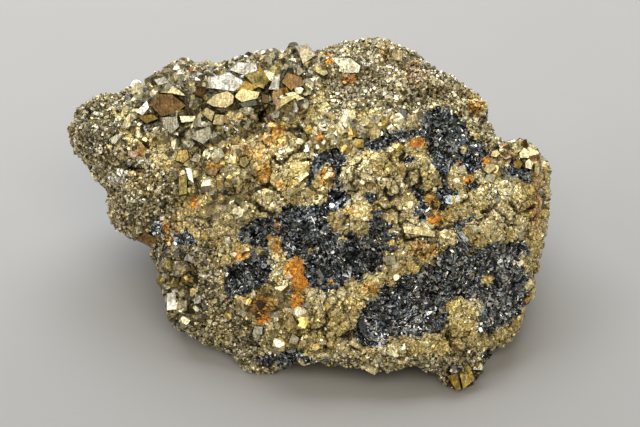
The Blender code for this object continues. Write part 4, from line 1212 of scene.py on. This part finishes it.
def any_turns(chance, count, shared=0.0):
    """Random rotations as matrices, drawn towards what neighbours share."""
    w, x, y, z = chance.normal(size=(4, count)) + shared
    length = np.sqrt(w * w + x * x + y * y + z * z)
    w, x, y, z = w / length, x / length, y / length, z / length
    rows = (
        (1 - 2 * (y * y + z * z), 2 * (x * y - z * w), 2 * (x * z + y * w)),
        (2 * (x * y + z * w), 1 - 2 * (x * x + z * z), 2 * (y * z - x * w)),
        (2 * (x * z - y * w), 2 * (y * z + x * w), 1 - 2 * (x * x + y * y)),
    )
    return np.array(rows).transpose(2, 0, 1)


def turns_onto(directions, chance):
    """Rotations that take +Z to each direction, with a random roll."""
    ahead = directions / np.linalg.norm(directions, axis=1, keepdims=True)
    side = np.cross(ahead, chance.normal(size=ahead.shape))
    side /= np.linalg.norm(side, axis=1, keepdims=True)
    return np.stack([side, np.cross(ahead, side), ahead], axis=2)


def copies(shapes, places, turns, sizes, chance):
    """Corners, rounds and face sizes of many copies of the shapes, and which copy each face is of."""
    kinds = chance.integers(len(shapes), size=len(places))
    corners, rounds, face_sizes, owners, start = [], [], [], [], 0
    for kind, shape in enumerate(shapes):
        chosen = np.flatnonzero(kinds == kind)
        stretched = shape.corners[None] * sizes[chosen][:, None, :]
        moved = np.einsum("nij,nmj->nmi", turns[chosen], stretched) + places[chosen][:, None]
        corners.append(moved.reshape(-1, 3))
        offsets = start + np.arange(len(chosen)) * len(shape.corners)
        rounds.append((shape.rounds[None] + offsets[:, None]).ravel())
        face_sizes.append(np.tile(shape.sizes, len(chosen)))
        owners.append(np.repeat(chosen, len(shape.sizes)))
        start += len(chosen) * len(shape.corners)
    corners = np.concatenate(corners)
    corners[:, 2] = np.maximum(corners[:, 2], 0.0)
    return corners, np.concatenate(rounds), np.concatenate(face_sizes), np.concatenate(owners)


def add_copies(name, shapes, places, turns, sizes, colours, material, chance, shades=(0.7, 1.25)):
    """One piece of many copies. Each face gets its copy's colour in a shade of its own."""
    *parts, owners = copies(shapes, places, turns, sizes, chance)
    shade = chance.uniform(*shades, len(owners))
    add_piece(mesh_from(name, *parts), colours[owners] * shade[:, None], material)


def sizes_from(chance, smallest, largest, count, flatness=(0.75, 1.3)):
    """Three sizes for each copy, more small than large."""
    size = smallest * (largest / smallest) ** (chance.uniform(0, 1, count) ** 1.4)
    return size[:, None] * chance.uniform(*flatness, (count, 3)) * MM


def picked(skin, weights, count, chance, front_gain=1.5):
    """Random faces of the skin, by area and weight, with more of them on the front."""
    chances = skin.area * np.clip(weights, 0.0, 1.0) * (1.0 + front_gain * skin.front_share)
    return chance.choice(len(chances), count, p=chances / chances.sum())


def tones_of(chance, count, mix):
    """A random tone's colour for each copy, from a mix of tones and their shares."""
    names = list(mix)
    shares = np.array([mix[name] for name in names], float)
    lot = chance.choice(len(names), count, p=shares / shares.sum())
    return np.array([linear(name) for name in names])[lot]


def add_pyrite_grains(skin, colours, coarse):
    """Broken grains on the pyrite, in two pieces. They lie with the surface and keep off its cracks."""
    chance, luck = draws("pyrite_grains")
    shapes = [chip(luck) for _ in range(6)]
    material = grain_finish("pyrite_grains", 0.45)
    kept_off = skin.of_faces(skin.crack * 2.0 + skin.seam + skin.covered)
    weights = skin.share["pyrite"] - kept_off - coarse * 0.85
    weights = np.maximum(weights, skin.share["hematite"] * 0.03)
    for name in ("pyrite_grains_fine", "pyrite_grains"):
        count, smallest, largest = LOTS[name]
        faces = picked(skin, weights, count, chance)
        tint = colours[faces] * 0.4 + tones_of(chance, count, PYRITE_MIX) * 0.6
        sizes = sizes_from(chance, smallest, largest, count)
        sizes[:, 2] *= 0.7
        turns = turns_onto(skin.normal[faces] + chance.normal(size=(count, 3)) * 0.3, chance)
        add_copies(name, shapes, skin.middle[faces], turns, sizes, tint, material, chance, shades=(0.35, 1.6))


def add_crust_grains(skin, colours, coarse):
    """Fine grains of the crust."""
    chance, luck = draws("crust_grains")
    shapes = [chip(luck) for _ in range(6)]
    count, smallest, largest = LOTS["crust_grains"]
    faces = picked(skin, skin.share["crust"] - coarse * 0.7 - skin.of_faces(skin.covered), count, chance)
    tint = colours[faces] * 1.15 + tones_of(chance, count, CRUST_MIX) * 0.36
    sizes = sizes_from(chance, smallest, largest, count)
    turns, material = any_turns(chance, count), grain_finish("crust_grains", 0.4)
    places = skin.middle[faces]
    add_copies("crust_grains", shapes, places, turns, sizes, tint, material, chance, shades=(0.08, 2.15))


def add_hematite_plates(skin):
    """Thin plates that stand out of the hematite at all angles, nearly side by side within each bundle."""
    chance, luck = draws("hematite_plates")
    shapes = [plate(luck) for _ in range(5)]
    material = flake_finish()
    for name in ("hematite_plates", "hematite_blades"):
        count, smallest, largest = LOTS[name]
        faces = picked(skin, skin.share["hematite"], count, chance, front_gain=2.5)
        places = skin.middle[faces]
        bundles, _ = grains_of(places, PLATE_BUNDLE)
        lean = of_each(bundles, PLATE_BUNDLE, 2.2) * 1.3 + chance.normal(size=(count, 3)) * 0.45
        directions = skin.normal[faces] * 0.6 + lean
        sizes = sizes_from(chance, smallest, largest, count, (0.4, 1.3))
        sizes[:, 2] = chance.uniform(0.6, 1.3, count) * MM
        across, height = FRONT.layout_of(places)
        # Plates near the glint spots are painted in bright tones, as painted glints.
        painted_glint_share = smooth_step(spot_depth([(*spot, spot[-1]) for spot in PAINTED_GLINT_SPOTS], across, height), -0.4, 1.0)
        pale = smooth_step(across, 8.0, 18.0) * smooth_step(-height, -2.0, 5.0) * skin.front_share[faces]
        paler = (chance.uniform(0, 1, count) < pale)[:, None]
        grey, dark = (
            tones_of(chance, count, {**mix, "black": mix["black"] * BLACKS[name]})
            for mix in (GREY_PLATE_MIX, DARK_PLATE_MIX)
        )
        plain = np.where(paler, grey, dark)
        bright = tones_of(chance, count, PAINTED_GLINT_MIX)
        painted_glint_chosen = (chance.uniform(0, 1, count) < painted_glint_share * 0.6)[:, None]
        colours = np.where(painted_glint_chosen, bright, plain)
        turns = turns_onto(directions, chance)
        add_copies(name, shapes, places, turns, sizes, colours, material, chance, shades=(0.4, 1.5))


def coarse_share(skin):
    """How coarsely crystalline the surface is at each face, from 0 to 1."""
    across, height = FRONT.layout_of(skin.middle)
    zones = [
        smooth_step(depth_inside(outline, across, height), -1.0, 1.0) * share for share, *outline in COARSE
    ]
    front = np.max(zones, axis=0) * skin.front_share
    back = smooth_step(cloud(skin.middle, 16 * MM, 2, 0.4), 0.05, 0.25) * (1.0 - skin.front_share)
    return (front + back) * (1.0 - skin.share["hematite"])


def add_small_crystals(skin, colours, coarse):
    """Crystals a few millimetres across: thick in the coarse zones, and here and there in the rest."""
    chance, luck = draws("small_crystals")
    shapes = [Shape(crystal(luck, 4)) for _ in range(12)]
    count, smallest, largest = LOTS["pyrite_crystals"]
    open_ground = 1.0 - skin.share["hematite"] - skin.of_faces(skin.near_crystals)
    faces = picked(skin, (coarse + 0.02) * open_ground, count, chance)
    sizes = sizes_from(chance, smallest, largest, count, (0.75, 1.25))
    places = skin.middle[faces] - skin.normal[faces] * sizes.mean(axis=1)[:, None] * 0.32
    groups, _ = grains_of(skin.middle[faces], CRYSTAL_GROUP)
    shared = np.vstack([np.ones(count), of_each(groups, CRYSTAL_GROUP, 5.5).T]) * 2.5
    turns = any_turns(chance, count, shared)
    tones = tones_of(chance, count, CRYSTAL_MIX) * 0.6 + colours[faces]
    material = crystal_finish()
    add_copies("pyrite_crystals", shapes, places, turns, sizes, tones, material, chance, shades=(0.08, 1.35))


def add_bright_crystals(skin):
    """The small bright crystals that have their own places on the front, each with a face to the light."""
    chance, luck = draws("bright_crystals")
    tree = BVHTree.FromPolygons(skin.corners.tolist(), skin.faces.tolist())
    shapes = [Shape(crystal(luck, 3)) for _ in range(8)]
    places, turns, sizes, colours = [], [], [], []
    for right, up, edge, tone in SMALL_CRYSTALS:
        found = FRONT.spot_on(tree, right, up)
        if found is None:
            continue
        places.append(found - FRONT.ahead * edge * 0.1 * MM)
        facing = -FRONT.ahead + Vector([luck.uniform(-0.3, 0.3) for _ in range(3)])
        roll = Quaternion((0.0, 0.0, 1.0), luck.uniform(0.0, 2.0 * math.pi))
        turns.append((facing.to_track_quat("Z", "Y") @ roll).to_matrix())
        sizes.append([edge * luck.uniform(0.8, 1.15) * MM for _ in range(3)])
        colours.append(linear(tone))
    arrays = [np.array(values) for values in (places, turns, sizes, colours)]
    add_copies("bright_crystals", shapes, *arrays, crystal_finish(), chance, shades=(0.75, 1.15))


def add_limonite_crumbs(skin):
    """Crumbs of limonite on its fillings."""
    chance, luck = draws("limonite_crumbs")
    shapes = [chip(luck, 2) for _ in range(5)]
    count, smallest, largest = LOTS["limonite_crumbs"]
    faces = picked(skin, skin.share["limonite"] ** 2, count, chance)
    tones = tones_of(chance, count, LIMONITE_MIX)
    sizes = sizes_from(chance, smallest, largest, count)
    turns, material = any_turns(chance, count), limonite_finish()
    add_copies("limonite_crumbs", shapes, skin.middle[faces], turns, sizes, tones, material, chance)


def main():
    set_stage()
    solid, tree = welded(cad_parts[NODE])
    skin = Skin(solid)
    colours = skin.colours()
    add_skin(skin, colours)
    add_crystal_faces(tree)
    coarse = coarse_share(skin)
    add_small_crystals(skin, colours, coarse)
    add_bright_crystals(skin)
    add_pyrite_grains(skin, colours, coarse)
    add_crust_grains(skin, colours, coarse)
    add_hematite_plates(skin)
    add_limonite_crumbs(skin)


main()
